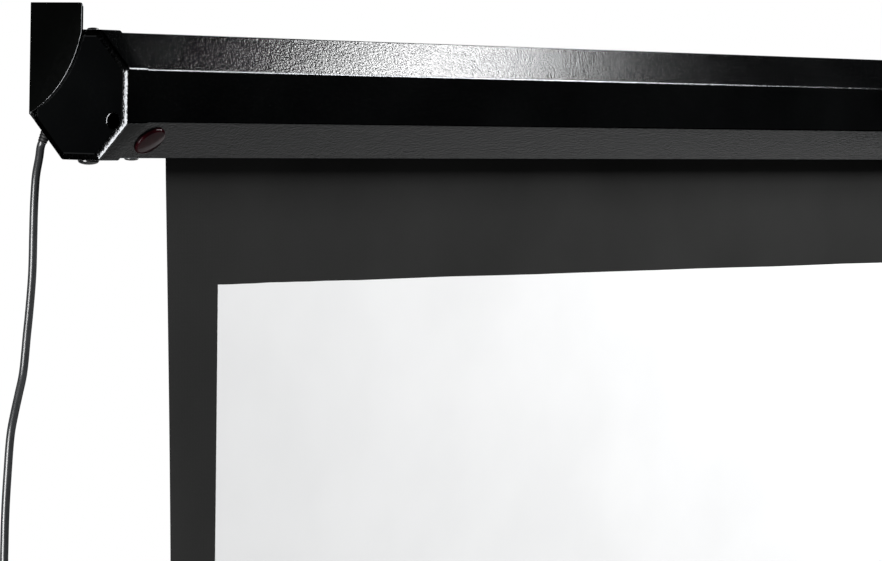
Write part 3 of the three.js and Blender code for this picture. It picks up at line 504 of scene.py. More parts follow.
# Power cord: one flex from the strain relief down the left side into a coil in two layers
powerLead = {
    "radius": 3.2,
    "reliefExit": (8, 86, 21),
    "reliefDirection": (-0.15, 0.3, -0.94),
    "reliefOutside": 9,
    "hang": [
        (4.4, 89.6, 1), (1.7, 90, -12), (0.4, 90, -26.6), (-0.2, 90, -41.3), (-0.4, 90, -56.1),
        (-0.9, 90, -85.7), (-3.7, 90, -115.3), (-5.6, 90, -130), (-9.3, 90, -159.5),
        (-13.6, 90, -174.1), (-18, 90, -188.7), (-21.6, 90, -203.3), (-24.4, 90, -232.7),
        (-26.2, 90, -262.1), (-26.6, 90, -285),
    ],
    "coilDrop": 300,
    "coilBend": 30,
    "coilInner": 25.6,
    "coilPitch": 7.2,
    "coilTurns": 6.125,
    "coilReversal": 0.04,
    "coilClimb": 0.25,
    "bendSteps": 3,
    "coilLeadIn": (4, 2),
    "tail": 30,
    "tailSteps": (0.1, 0.3, 0.6, 1),
    "pathSteps": 5,
    "resolution": 4,
    "stepsPerTurn": 40,
    "seat": 0.3,
}
leadDirection = Vector(powerLead["reliefDirection"]).normalized()
leadExit = Vector(powerLead["reliefExit"])
leadTip = leadExit + leadDirection * powerLead["reliefOutside"]
leadStart = leadTip + leadDirection * powerLead["seat"]
coilHalf = powerLead["coilTurns"] / 2
coilX, coilRear = powerLead["hang"][-1][:2]
coilShift = (powerLead["coilInner"] + powerLead["coilPitch"] * coilHalf) * math.sqrt(0.5)
coilSlant = coilShift - powerLead["coilBend"] * (1 - math.sqrt(0.5))
coilZ = -powerLead["coilDrop"] - powerLead["coilBend"] * math.sqrt(0.5) - coilSlant - coilShift


def coilPoint(turn):
    fromMiddle = turn - coilHalf
    reach = math.hypot(fromMiddle, powerLead["coilReversal"])
    radius = powerLead["coilInner"] + powerLead["coilPitch"] * reach
    share = min(max(fromMiddle / powerLead["coilClimb"] / 2 + 0.5, 0), 1)
    y = coilRear - powerLead["coilPitch"] * (share * share * (3 - 2 * share))
    angle = math.pi / 4 - turn * math.tau
    return Vector((coilX + radius * math.cos(angle), y, coilZ + radius * math.sin(angle)))


def between(low, high, first, second, t):
    return first * ((high - t) / (high - low)) + second * ((t - low) / (high - low))


# A smooth path through the points, with steps that even out where the points lie close.
def smoothPath(points, steps):
    ends = [points[0] * 2 - points[1], *points, points[-1] * 2 - points[-2]]
    path = []
    for index in range(1, len(ends) - 2):
        p0, p1, p2, p3 = ends[index - 1 : index + 3]
        t1 = max((p1 - p0).length, 1e-6) ** 0.5
        t2 = t1 + max((p2 - p1).length, 1e-6) ** 0.5
        t3 = t2 + max((p3 - p2).length, 1e-6) ** 0.5
        for step in range(steps):
            t = t1 + (t2 - t1) * step / steps
            near = between(0, t1, p0, p1, t)
            middle = between(t1, t2, p1, p2, t)
            far = between(t2, t3, p2, p3, t)
            low = between(0, t2, near, middle, t)
            path.append(between(t1, t2, low, between(t1, t3, middle, far, t), t))
    return [*path, points[-1]]


def leadRoute():
    points = [leadStart, leadStart + leadDirection * powerLead["radius"]]
    points += [Vector(place) for place in powerLead["hang"]]
    bend = powerLead["coilBend"]
    for angle in turns(powerLead["bendSteps"], math.pi / 4):
        x = coilX + bend * (1 - math.cos(angle))
        points.append(Vector((x, coilRear, -powerLead["coilDrop"] - bend * math.sin(angle))))
    heading = Vector((1, 0, -1)).normalized()
    for radii in powerLead["coilLeadIn"]:
        points.append(coilPoint(0) - heading * powerLead["radius"] * radii)
    path = smoothPath(points, powerLead["pathSteps"])
    count = round(powerLead["coilTurns"] * powerLead["stepsPerTurn"])
    path += [coilPoint(step / count * powerLead["coilTurns"]) for step in range(count + 1)]
    end = path[-1].copy()
    tail = [Vector((0, 0, -powerLead["tail"] * drop)) for drop in powerLead["tailSteps"]]
    return path + [end + drop for drop in tail]


# A round cord along a path
def roundCord(name, path, radius):
    curve = bpy.data.curves.new(name, "CURVE")
    curve.dimensions = "3D"
    curve.bevel_depth = radius * millimetre
    curve.bevel_resolution = powerLead["resolution"]
    curve.use_fill_caps = True
    spline = curve.splines.new("POLY")
    spline.points.add(len(path) - 1)
    for point, place in zip(spline.points, path):
        point.co = (*at(*place), 1)
    spline.use_smooth = True
    curve.materials.append(finishes["cordSheath"])
    return placed(name, curve)


leadPath = leadRoute()
lead = roundCord("power_lead", leadPath, powerLead["radius"])
seat(lead, "case", "cord_sheath", "power_cord", "cord_coil")

# Plug: a boot with grips, a body with rounded shoulders, and its pins
plug = {
    "bootLength": 18,
    "bootTop": 3.5,
    "bootRadius": 5.5,
    "bootSteps": 40,
    "ridges": 5,
    "ridgeDepth": 0.5,
    "ridgeFade": 4,
    "length": 28,
    "width": 26,
    "depth": 20,
    "corner": 5,
    "shoulder": 3,
    "shoulderSteps": 6,
    "rim": 1.2,
    "rimSteps": 4,
    "sides": 48,
    "pins": {
        "plug_pin_left": ("plug_blade_left", 0.5),
        "plug_pin_right": ("plug_blade_right", 0.5),
        "plug_pin_earth": ("plug_earth_pin", 0.7),
    },
}
plugTop = coilPoint(powerLead["coilTurns"]) + Vector((0, 0, -powerLead["tail"] - powerLead["seat"]))


# A ring round a rounded rectangle, flat in Z
def roundedRing(centre, halfX, halfY, corner, z, count):
    ring = []
    quarter = count // 4
    for side, (signX, signY) in enumerate(((1, 1), (-1, 1), (-1, -1), (1, -1))):
        middle = Vector((signX * (halfX - corner), signY * (halfY - corner)))
        for step in range(quarter):
            angle = (side + step / (quarter - 1)) * math.pi / 2
            out = Vector((math.cos(angle), math.sin(angle))) * corner
            ring.append((centre[0] + middle.x + out.x, centre[1] + middle.y + out.y, centre[2] + z))
    return ring


def makePlugBody():
    sections = []
    for step in range(plug["bootSteps"] + 1):
        share = step / plug["bootSteps"]
        taper = plug["bootTop"] + (plug["bootRadius"] - plug["bootTop"]) * share
        ridge = plug["ridgeDepth"] * (0.5 - 0.5 * math.cos(share * plug["ridges"] * math.tau))
        radius = taper - ridge * min(1, share * plug["ridgeFade"])
        sections.append((radius, radius, radius, -plug["bootLength"] * share))
    body = []
    for angle in turns(plug["shoulderSteps"]):
        z = -plug["bootLength"] - plug["shoulder"] * (1 - math.cos(angle))
        body.append((plug["shoulder"] * (1 - math.sin(angle)), z))
    for angle in turns(plug["rimSteps"]):
        z = -plug["bootLength"] - plug["length"] + plug["rim"] * (1 - math.sin(angle))
        body.append((plug["rim"] * (1 - math.cos(angle)), z))
    for inset, z in body:
        sections.append((plug["width"] / 2 - inset, plug["depth"] / 2 - inset, plug["corner"], z))
    rings = [roundedRing(plugTop, *section, plug["sides"]) for section in sections[::-1]]
    piece = newPiece("mains_plug", loft(rings), "cordSheath", 35, repaired=False)
    return seat(piece, "case", "cord_sheath", "plug_body")


plugBody = makePlugBody()
plugPins = [
    seat(softened(name, node, "brassPins", edge, 3), "case", "brass_pins", node)
    for name, (node, edge) in plug["pins"].items()
]

# Strap: a band round the turns of the coil
strap = {
    "width": 10,
    "thickness": 0.8,
    "skin": 0.02,
    "angle": 135,
    "corner": 2,
    "inner": powerLead["coilInner"] - powerLead["radius"] - 1.2,
    "clear": 0.3,
    "around": 40,
    "rows": 6,
}


def makeStrap():
    outer = powerLead["coilInner"] + powerLead["coilPitch"] * coilHalf + powerLead["radius"]
    reach = powerLead["radius"] + strap["clear"]
    spans = (
        (strap["inner"], outer + strap["clear"]),
        (coilRear - powerLead["coilPitch"] - reach, coilRear + reach),
    )
    middle = (*((low + high) / 2 for low, high in spans), 0)
    halfX, halfY = ((high - low) / 2 for low, high in spans)
    angle = math.radians(strap["angle"])
    count, rows = strap["around"], strap["rows"]
    points = []
    for layer in (strap["skin"], strap["thickness"] - strap["skin"]):
        ring = roundedRing(middle, halfX + layer, halfY + layer, strap["corner"] + layer, 0, count)
        for row in range(rows + 1):
            rise = (row / rows - 0.5) * strap["width"]
            for out, y, _ in ring:
                x = coilX + out * math.cos(angle) - rise * math.sin(angle)
                points.append((x, y, coilZ + out * math.sin(angle) + rise * math.cos(angle)))
    layerSize = count * (rows + 1)
    faces = []
    for layer in (0, 1):
        for row in range(rows):
            near = layer * layerSize + row * count
            faces += band(near, near + count, count, flipped=not layer)
    for near in (0, rows * count):
        faces += band(near, layerSize + near, count, flipped=near > 0)
    piece = newPiece("coil_strap", (points, faces), "strapCloth", 40)
    return seat(piece, "case", "black_plastic", "cord_tie")


coilStrap = makeStrap()
print("cord, plug and strap made")

# Strain relief: a collar inside the case and a ribbed taper outside
strainRelief = {
    "inside": 16,
    "collarStart": 7.2,
    "collarRadius": 5.3,
    "radius": 4,
    "tipRadius": 3.6,
    "ribs": 4,
    "stepsPerRib": 8,
    "grooveDepth": 0.35,
    "edge": 0.5,
    "sides": 48,
}


def makeStrainRelief():
    sizes = strainRelief
    edge, inside, start = sizes["edge"], -sizes["inside"], -sizes["collarStart"]
    collar = sizes["collarRadius"]
    profile = [(0, inside), (collar - edge, inside), (collar, inside + edge)]
    profile += [(collar, start - edge), (collar - edge, start), (sizes["radius"], start)]
    steps = sizes["ribs"] * sizes["stepsPerRib"]
    outside = powerLead["reliefOutside"]
    for step in range(steps + 1):
        share = step / steps
        taper = sizes["radius"] + (sizes["tipRadius"] - sizes["radius"]) * share
        groove = 0.5 - 0.5 * math.cos(share * sizes["ribs"] * math.tau)
        profile.append((taper - sizes["grooveDepth"] * groove**3, outside * share))
    profile.append((0, outside))
    shape = revolve(profile, leadExit, leadDirection, sizes["sides"])
    piece = newPiece("ribbed_strain_relief", shape, "blackPlastic", 35)
    seat(piece, "case", "black_plastic", "strain_relief")


makeStrainRelief()

# Case: an octagon folded from sheet, with a lipped slot for the cloth. Each hole has a place, a
# direction, a radius and how far its rod goes in and out, and some a width of their lip.
caseSizes = {
    "Depth": 93.0,
    "Height": 96.0,
    "Chamfer": 28.0,
    "Inset": 1.75,
    "Wall": 1.5,
    "Bend": 2.2,
    "Bend Steps": 6,
    "Left": 2.3,
    "Right": 2131.7,
    "Slot Left": 84.5,
    "Slot Right": 2108.5,
    "Slot Front": 43.35,
    "Slot Rear": 61.35,
    "Lip": 7.0,
}
barSizes = {
    "Depth": 93.0, "Height": 96.0, "Chamfer": 28.0, "Inset": 0.0, "Bend": 2.0, "Bend Steps": 6,
    "Left": 0.0, "Right": 100.0,
}
cutPast = 5.0
mergeDistance = 0.001
lipSteps = 6
lensPlace = ((43, 15.2374, 15.2374), (0, -1, -1))
reliefPlace = (powerLead["reliefExit"], powerLead["reliefDirection"])
upward, downward = (0, 0, 1), (0, 0, -1)
holes = [
    (*lensPlace, 11.0, 5, 5),
    (*reliefPlace, 4.3, 11, 5),
    ((11.3, 44.6, 96), upward, 2.1, 10, 5),
    ((2122.7, 44.6, 96), upward, 2.1, 10, 5),
    ((11.3, 47, 0), downward, 2.1, 10, 5),
    ((2122.7, 47, 0), downward, 2.1, 10, 5),
    ((46.5, 36, 0), downward, 2.1, 5, 5),
    ((2094.5, 36, 0), downward, 2.1, 5, 5),
]


def geometryOf(tree, kind, settings=None, **values):
    return addNode(tree, "GeometryNode" + kind, settings, **values).outputs[0]


# Starts a tree, and gives its inputs and the functions that add nodes and sums to it.
def newTree(name, inputs, onPoints=False):
    tree = bpy.data.node_groups.new(name, "GeometryNodeTree")
    addSocket = tree.interface.new_socket
    if onPoints:
        addSocket("Points", in_out="INPUT", socket_type="NodeSocketGeometry")
    for label, value in inputs.items():
        kind = "NodeSocketInt" if isinstance(value, int) else "NodeSocketFloat"
        addSocket(label, in_out="INPUT", socket_type=kind).default_value = value
    addSocket("Geometry", in_out="OUTPUT", socket_type="NodeSocketGeometry")
    sizes = tree.nodes.new("NodeGroupInput").outputs
    return tree, sizes, partial(geometryOf, tree), partial(mathOf, tree)


def giveOut(tree, geometry):
    tree.links.new(geometry, tree.nodes.new("NodeGroupOutput").inputs[0])


def vectorOf(tree, x=0.0, y=0.0, z=0.0):
    return addNode(tree, "ShaderNodeCombineXYZ", X=x, Y=y, Z=z).outputs[0]


def joined(tree, *geometries):
    node = tree.nodes.new("GeometryNodeJoinGeometry")
    for geometry in reversed(geometries):
        tree.links.new(geometry, node.inputs[0])
    return node.outputs[0]


def boolean(tree, operation, first, *others):
    node = addNode(tree, "GeometryNodeMeshBoolean", {"operation": operation, "solver": "EXACT"})
    tree.links.new(first, node.inputs["Mesh 1" if operation == "DIFFERENCE" else "Mesh 2"])
    for other in others:
        tree.links.new(other, node.inputs["Mesh 2"])
    return node.outputs["Mesh"]


# A bar of the case's section, with its faces moved in and its folds rounded
def octagonBarTree():
    tree, sizes, add, calc = newTree("octagonBar", barSizes)
    twice = calc("MULTIPLY", sizes["Inset"], 2.0)
    section = add(
        "CurvePrimitiveQuadrilateral",
        Width=calc("SUBTRACT", sizes["Depth"], twice),
        Height=calc("SUBTRACT", sizes["Height"], twice),
    )
    shrink = calc("MULTIPLY", sizes["Inset"], 2 - math.sqrt(2))
    chamfer = calc("SUBTRACT", sizes["Chamfer"], shrink)
    octagon = add("FilletCurve", {"mode": "POLY"}, Curve=section, Count=1, Radius=chamfer)
    bend = {"Count": sizes["Bend Steps"], "Radius": sizes["Bend"]}
    folded = add("FilletCurve", {"mode": "POLY"}, Curve=octagon, **bend)
    face = add("FillCurve", {"mode": "NGONS"}, Curve=folded)
    length = vectorOf(tree, z=calc("SUBTRACT", sizes["Right"], sizes["Left"]))
    sides = add("ExtrudeMesh", Mesh=face, Offset=length, Individual=False)
    ends = joined(tree, sides, add("FlipFaces", Mesh=face))
    closed = add("MergeByDistance", Geometry=ends, Distance=mergeDistance)
    halves = [calc("DIVIDE", sizes[label], 2.0) for label in ("Depth", "Height")]
    middle = vectorOf(tree, sizes["Left"], *halves)
    turn = (quarterTurn, 0.0, quarterTurn)
    giveOut(tree, add("Transform", Geometry=closed, Rotation=turn, Translation=middle))
    return tree


octagonBar = octagonBarTree()


# A block between two corners, whose ends may be inputs of the tree
def blockOf(tree, low, high):
    ends = list(zip(low, high))
    size = [mathOf(tree, "SUBTRACT", b, a) for a, b in ends]
    middle = [mathOf(tree, "MULTIPLY", mathOf(tree, "ADD", a, b), 0.5) for a, b in ends]
    cube = geometryOf(tree, "MeshCube", Size=vectorOf(tree, *size))
    return geometryOf(tree, "Transform", Geometry=cube, Translation=vectorOf(tree, *middle))


# Moves a tree's result from the drawing to the row frame and gives it its material.
def finishTree(tree, geometry, finish):
    move = {"Translation": tuple(-caseOrigin * millimetre), "Scale": (millimetre,) * 3}
    moved = geometryOf(tree, "Transform", Geometry=geometry, **move)
    real = geometryOf(tree, "RealizeInstances", Geometry=moved)
    giveOut(tree, geometryOf(tree, "SetMaterial", Geometry=real, Material=finishes[finish]))
    return tree


def runTree(name, tree, base, values, finish, smoothAngle=None):
    piece = placed(name, base)
    modifier = piece.modifiers.new(name, "NODES")
    modifier.node_group = tree
    for item in tree.interface.items_tree:
        if item.in_out == "INPUT" and item.name in values:
            modifier[item.identifier] = values[item.name]
    return bake(piece, finish, smoothAngle)


# Rods that stand where the holes go, for a boolean to take away
def holeRods(name, places, segments=48):
    points = []
    faces = []
    for place, direction, radius, inward, outward, *lips in places:
        profile = [(0, -inward), (radius, -inward), (radius, outward), (0, outward)]
        for lip in lips:
            profile[1:2] = [(radius + lip, -inward), (radius + lip, 0)]
            for index, angle in enumerate(turns(lipSteps)[1:], 3):
                wide = radius + lip * (1 - math.sin(angle))
                profile.insert(index, (wide, lip * (1 - math.cos(angle))))
        rod, rodFaces = revolve(profile, place, direction, segments)
        faces += [[index + len(points) for index in face] for face in rodFaces]
        points += rod
    return newHelper(name, points, faces)


def caseTree(rods):
    tree, sizes, add, calc = newTree("foldedCase", caseSizes)
    shared = {label: sizes[label] for label in ("Depth", "Height", "Chamfer", "Bend Steps")}
    changes = {
        "Inset": ("ADD", sizes["Wall"]),
        "Bend": ("SUBTRACT", sizes["Wall"]),
        "Left": ("SUBTRACT", cutPast),
        "Right": ("ADD", cutPast),
    }
    outside = {label: sizes[label] for label in changes}
    inside = {
        label: calc(operation, sizes[label], change)
        for label, (operation, change) in changes.items()
    }
    bar = {"node_tree": octagonBar}
    bars = [add("Group", bar, **shared, **reach) for reach in (outside, inside)]
    tube = boolean(tree, "DIFFERENCE", *bars)
    left, right = sizes["Slot Left"], sizes["Slot Right"]
    front, rear = sizes["Slot Front"], sizes["Slot Rear"]
    lipTop = calc("ADD", sizes["Inset"], sizes["Lip"])
    lips = [
        blockOf(tree, (left, near, sizes["Inset"]), (right, far, lipTop))
        for near, far in (
            (calc("SUBTRACT", front, sizes["Wall"]), front),
            (rear, calc("ADD", rear, sizes["Wall"])),
        )
    ]
    slot = blockOf(tree, (left, front, -cutPast), (right, rear, calc("ADD", lipTop, cutPast)))
    slotted = boolean(tree, "DIFFERENCE", boolean(tree, "UNION", tube, *lips), slot)
    cutters = addNode(tree, "GeometryNodeObjectInfo", Object=rods).outputs["Geometry"]
    return finishTree(tree, boolean(tree, "DIFFERENCE", slotted, cutters), "sandCoat")


def makeCase():
    rods = holeRods("case_holes", holes)
    base = bpy.data.meshes.new("folded_case")
    piece = runTree("folded_case", caseTree(rods), base, caseSizes, "sandCoat")
    bpy.data.objects.remove(rods)
    return seat(piece, "case", "sand_coat", "case_shell")


foldedCase = makeCase()
print("case folded:", len(foldedCase.data.polygons), "faces")

# End caps: octagonal cups with a rounded outer edge and rounded corners
capSizes = {
    "depth": 93,
    "height": 96,
    "chamfer": 28,
    "face": 2,
    "skirt": 23,
    "skirtEdge": 0.25,
    "edge": 2.4,
    "edgeReach": 8,
    "corner": 3.2,
    "innerCorner": 2.2,
    "inside": 1.45,
    "edgeSteps": 14,
    "cornerSteps": 6,
}
capHoles = [
    ((11.3, 44.6, 96), upward, 2.1, 5, 5),
    ((11.3, 47, 0), downward, 2.1, 5, 5),
    ((0, 66, 80), (1, 0, 0), 2.6, 5, 5),
    ((0, 78, 58), (1, 0, 0), 2.6, 5, 5),
]
leftCapHoles = [((0, 13.6, 29.4), (1, 0, 0), 5.5, 5, 5, 1.2), (*reliefPlace, 4.3, 14, 5)]


# The octagon moved in, with each corner turned on a radius
def octagonRing(x, inset, corner):
    near = capSizes["chamfer"] + inset * (math.sqrt(2) - 1)
    depth, height = capSizes["depth"], capSizes["height"]
    corners = [
        (inset, near), (near, inset), (depth - near, inset), (depth - inset, near),
        (depth - inset, height - near), (depth - near, height - inset),
        (near, height - inset), (inset, height - near),
    ]
    ring = []
    steps = capSizes["cornerSteps"]
    half = math.pi / 8
    for index, here in enumerate(corners):
        here = Vector(here)
        before = (Vector(corners[index - 1]) - here).normalized()
        after = (Vector(corners[(index + 1) % 8]) - here).normalized()
        toward = (before + after).normalized()
        middle = here + toward * (corner / math.cos(half))
        for step in range(steps + 1):
            out = Matrix.Rotation((step / steps * 2 - 1) * half, 2) @ (-toward)
            ring.append((x, *(middle + out * corner)))
    return ring


def makeEndCap(name, node, isLeft):
    skirt, corner = capSizes["skirt"], capSizes["corner"]
    sections = [
        (capSizes["face"], capSizes["inside"], capSizes["innerCorner"]),
        (skirt, capSizes["inside"], capSizes["innerCorner"]),
        (skirt, capSizes["skirtEdge"], corner),
        (skirt - capSizes["skirtEdge"], 0, corner),
    ]
    for angle in turns(capSizes["edgeSteps"]):
        x = capSizes["edge"] * (1 - math.sin(angle))
        sections.append((x, capSizes["edgeReach"] * (1 - math.cos(angle)), corner))
    points, faces = loft([octagonRing(*section) for section in sections])
    turn = Matrix.Scale(millimetre, 4) @ Matrix.Translation(-caseOrigin)
    if not isLeft:
        points = [(caseLength - x, y, z) for x, y, z in points]
        turn = turn @ Matrix.Translation((caseLength, 0, 0)) @ Matrix.Scale(-1, 4, (1, 0, 0))
    piece = newPiece(name, (points, faces), "sandCoat")
    rods = holeRods(name + "_holes", capHoles + (leftCapHoles if isLeft else []))
    rods.data.transform(turn)
    repairNormals(rods.data)
    addBoolean(piece, rods, "DIFFERENCE")
    bake(piece, "sandCoat", 30)
    bpy.data.objects.remove(rods)
    seat(piece, "case", "sand_coat", node)


makeEndCap("left_cap", "left_end_cap", True)
makeEndCap("right_cap", "right_end_cap", False)
print("end caps made")

# Wall brackets: a side plate with a curved front edge, a flange with a slot, and two studs
bracketSizes = {
    "thickness": 2,
    "front": 44,
    "wall": 95,
    "top": 115.7,
    "arcY": 133,
    "arcZ": 117,
    "arcRadius": 91.9,
    "arcSteps": 48,
    "corner": 3,
    "cornerSteps": 6,
    "flangeWidth": 40,
    "flangeBottom": 24,
    "chamferWidth": 9,
    "slot": (20, 106, 16, 7),
    "slotSteps": 12,
    "slotBehind": 8,
    "studs": ((66, 80), (78, 58)),
    "studRadius": 2.3,
    "studLength": 9,
    "studEdge": 0.5,
    "studRoot": -1,
    "studSides": 32,
    "edge": 0.9,
    "edgeSegments": 3,
    "edgeLimit": 40,
}


def prism(outline, low, high, axes):
    rings = []
    for third in (low, high):
        ring = []
        for first, second in outline:
            byAxis = dict(zip(axes, (first, second, third)))
            ring.append((byAxis[0], byAxis[1], byAxis[2]))
        rings.append(ring)
    return loft(rings)


def arcHeight(y):
    reach = y - bracketSizes["arcY"]
    return bracketSizes["arcZ"] - math.sqrt(bracketSizes["arcRadius"] ** 2 - reach**2)


def plateOutline():
    sizes = bracketSizes
    front, wall, top, corner = (sizes[label] for label in ("front", "wall", "top", "corner"))
    middleY, middleZ, steps = sizes["arcY"], sizes["arcZ"], sizes["arcSteps"]
    outline = [(wall, top)]
    for angle in turns(sizes["cornerSteps"], start=quarterTurn):
        y = front + corner * (1 + math.cos(angle))
        outline.append((y, top - corner * (1 - math.sin(angle))))
    start, end = (math.atan2(arcHeight(y) - middleZ, y - middleY) for y in (front, wall))
    for step in range(steps + 1):
        angle = start + (end - start) * step / steps
        y = middleY + sizes["arcRadius"] * math.cos(angle)
        outline.append((y, middleZ + sizes["arcRadius"] * math.sin(angle)))
    return outline


def slotOutline(x, z, length, width):
    radius = width / 2
    steps = bracketSizes["slotSteps"]
    outline = []
    for end, turn in ((1, 0), (-1, math.pi)):
        middle = x + end * (length / 2 - radius)
        for step in range(steps + 1):
            angle = (step / steps - 0.5) * math.pi + turn
            outline.append((middle + radius * math.cos(angle), z + radius * math.sin(angle)))
    return outline


def bracketStuds():
    radius, length = bracketSizes["studRadius"], bracketSizes["studLength"]
    edge, root = bracketSizes["studEdge"], bracketSizes["studRoot"]
    profile = [(0, root), (radius, root), (radius, length - edge)]
    profile += [(radius - edge, length), (0, length)]
    points, faces = [], []
    for y, z in bracketSizes["studs"]:
        stud, studFaces = revolve(profile, (0, y, z), (1, 0, 0), bracketSizes["studSides"])
        faces += [[index + len(points) for index in face] for face in studFaces]
        points += stud
    return points, faces


def makeBracket(name, node, isLeft):
    sizes = bracketSizes
    thickness, wall, top = sizes["thickness"], sizes["wall"], sizes["top"]
    width, bottom = sizes["flangeWidth"], sizes["flangeBottom"]
    slotSpan = (wall - sizes["slotBehind"], wall + cutPast)
    flangeOutline = [
        (-thickness, arcHeight(wall)), (sizes["chamferWidth"], bottom), (width, bottom),
        (width, top), (-thickness, top),
    ]
    shapes = {
        name: prism(plateOutline(), -thickness, 0, (1, 2, 0)),
        "flange": prism(flangeOutline, wall - thickness, wall, (0, 2, 1)),
        "slot": prism(slotOutline(*sizes["slot"]), *slotSpan, (0, 2, 1)),
        "studs": bracketStuds(),
    }
    piece, flange, slot, studs = (
        newHelper(label, [at(*point) for point in points], faces)
        for label, (points, faces) in shapes.items()
    )
    addBoolean(piece, flange, "UNION")
    addBoolean(piece, slot, "DIFFERENCE")
    addBevel(piece, sizes["edge"], sizes["edgeSegments"], sizes["edgeLimit"])
    addBoolean(piece, studs, "UNION")
    bake(piece, "smoothCoat", 30)
    for helper in (flange, slot, studs):
        bpy.data.objects.remove(helper)
    if not isLeft:
        farEnd = Matrix.Translation(at(caseLength, *caseOrigin.yz))
        nearEnd = Matrix.Translation(-at(0, *caseOrigin.yz))
        piece.data.transform(farEnd @ Matrix.Scale(-1, 4, (1, 0, 0)) @ nearEnd)
        piece.data.flip_normals()
    seat(piece, "case", "smooth_coat", node)


makeBracket("left_bracket", "left_wall_bracket", True)
makeBracket("right_bracket", "right_wall_bracket", False)
print("brackets made")

# Domed screws and hexagon nuts, one copy on each point. Each screw has a place, a direction, and
# the radius and height of its head.
screwSizes = {"Rim": 0.15, "Shank Radius": 1.8, "Shank Length": 10.0, "Seat": 0.3, "Sides": 40}
screwSegments = {"shank": 24, "fill": 10}
screwPlaces = {
    "left_cap_top_screw": ((11.3, 44.6, 96), upward, 4.4, 1.7),
    "left_cap_lower_screw": ((11.3, 47, 0), downward, 8, 3.6),
    "right_cap_top_screw": ((2122.7, 44.6, 96), upward, 4.4, 1.7),
    "right_cap_lower_screw": ((2122.7, 47, 0), downward, 8, 3.6),
    "motor_support_screw": ((46.5, 36, 1.75), downward, 5.5, 2),
    "idler_support_screw": ((2094.5, 36, 1.75), downward, 5.5, 2),
}


def pointMesh(name, places, direction, sizes):
    mesh = bpy.data.meshes.new(name)
    mesh.from_pydata(places, [], [])
    for label, values in (("direction", direction), ("size", sizes)):
        attribute = mesh.attributes.new(label, "FLOAT_VECTOR", "POINT")
        attribute.data.foreach_set("vector", [number for value in values for number in value])
    return mesh


def readVector(tree, label):
    return geometryOf(tree, "InputNamedAttribute", {"data_type": "FLOAT_VECTOR"}, Name=label)


def instancesOf(tree, points, shape, scale=(1.0, 1.0, 1.0)):
    direction = readVector(tree, "direction")
    turn = addNode(tree, "FunctionNodeAlignRotationToVector", {"axis": "Z"}, Vector=direction)
    values = {"Points": points, "Instance": shape, "Rotation": turn.outputs[0], "Scale": scale}
    return geometryOf(tree, "InstanceOnPoints", **values)


# Moves a shape along Z by a share of a length of the tree.
def raised(tree, geometry, length, share):
    rise = vectorOf(tree, z=mathOf(tree, "MULTIPLY", length, share))
    return geometryOf(tree, "Transform", Geometry=geometry, Translation=rise)


def screwTree():
    tree, sizes, add, calc = newTree("domedScrews", screwSizes, onPoints=True)
    rim, shankLength = sizes["Rim"], sizes["Shank Length"]
    segments = {"Vertices": sizes["Sides"], "Side Segments": 1}
    segments["Fill Segments"] = screwSegments["fill"]
    head = add("MeshCylinder", {"fill_type": "NGON"}, **segments, Radius=1.0, Depth=rim)
    place = tree.nodes.new("GeometryNodeInputPosition").outputs[0]
    x, y, z = addNode(tree, "ShaderNodeSeparateXYZ", Vector=place).outputs
    squares = calc("ADD", calc("MULTIPLY", x, x), calc("MULTIPLY", y, y))
    dome = calc("SQRT", calc("MAXIMUM", calc("SUBTRACT", 1.0, squares), 0.0))
    domed = add(
        "SetPosition",
        Geometry=raised(tree, head, rim, 0.5),
        Selection=calc("GREATER_THAN", z, 0.01),
        Offset=vectorOf(tree, z=calc("MULTIPLY", dome, calc("SUBTRACT", 1.0, rim))),
    )
    heads = instancesOf(tree, sizes["Points"], domed, readVector(tree, "size"))
    shankSize = {"Radius": sizes["Shank Radius"], "Depth": shankLength}
    shank = add("MeshCylinder", Vertices=screwSegments["shank"], **shankSize)
    shanks = instancesOf(tree, sizes["Points"], raised(tree, shank, shankLength, -0.5))
    return finishTree(tree, joined(tree, heads, shanks), "screwBlack")


def makeScrews():
    sunk = screwSizes["Seat"] / 2
    rows = screwPlaces.values()
    places = [Vector(place) + Vector(direction) * sunk for place, direction, _, _ in rows]
    heads = [(radius, radius, height - sunk) for _, _, radius, height in rows]
    base = pointMesh("screw_points", places, [direction for _, direction, _, _ in rows], heads)
    piece = runTree("domed_screws", screwTree(), base, screwSizes, "screwBlack", 40)
    seat(piece, "case", "black_screw", *screwPlaces)


makeScrews()

nutSizes = {"Radius": 4.6188, "Thickness": 4.0, "Bore": 2.6, "Crown": 4.25}
nutSpread = 1.8
nutSegments = {"side": 6, "cone": 36, "bore": 32}
nutPlaces = {
    "left_bracket_nut_upper": ((2.3, 66, 80), (1, 0, 0)),
    "left_bracket_nut_lower": ((2.3, 78, 58), (1, 0, 0)),
    "right_bracket_nut_upper": ((2131.7, 66, 80), (-1, 0, 0)),
    "right_bracket_nut_lower": ((2131.7, 78, 58), (-1, 0, 0)),
}


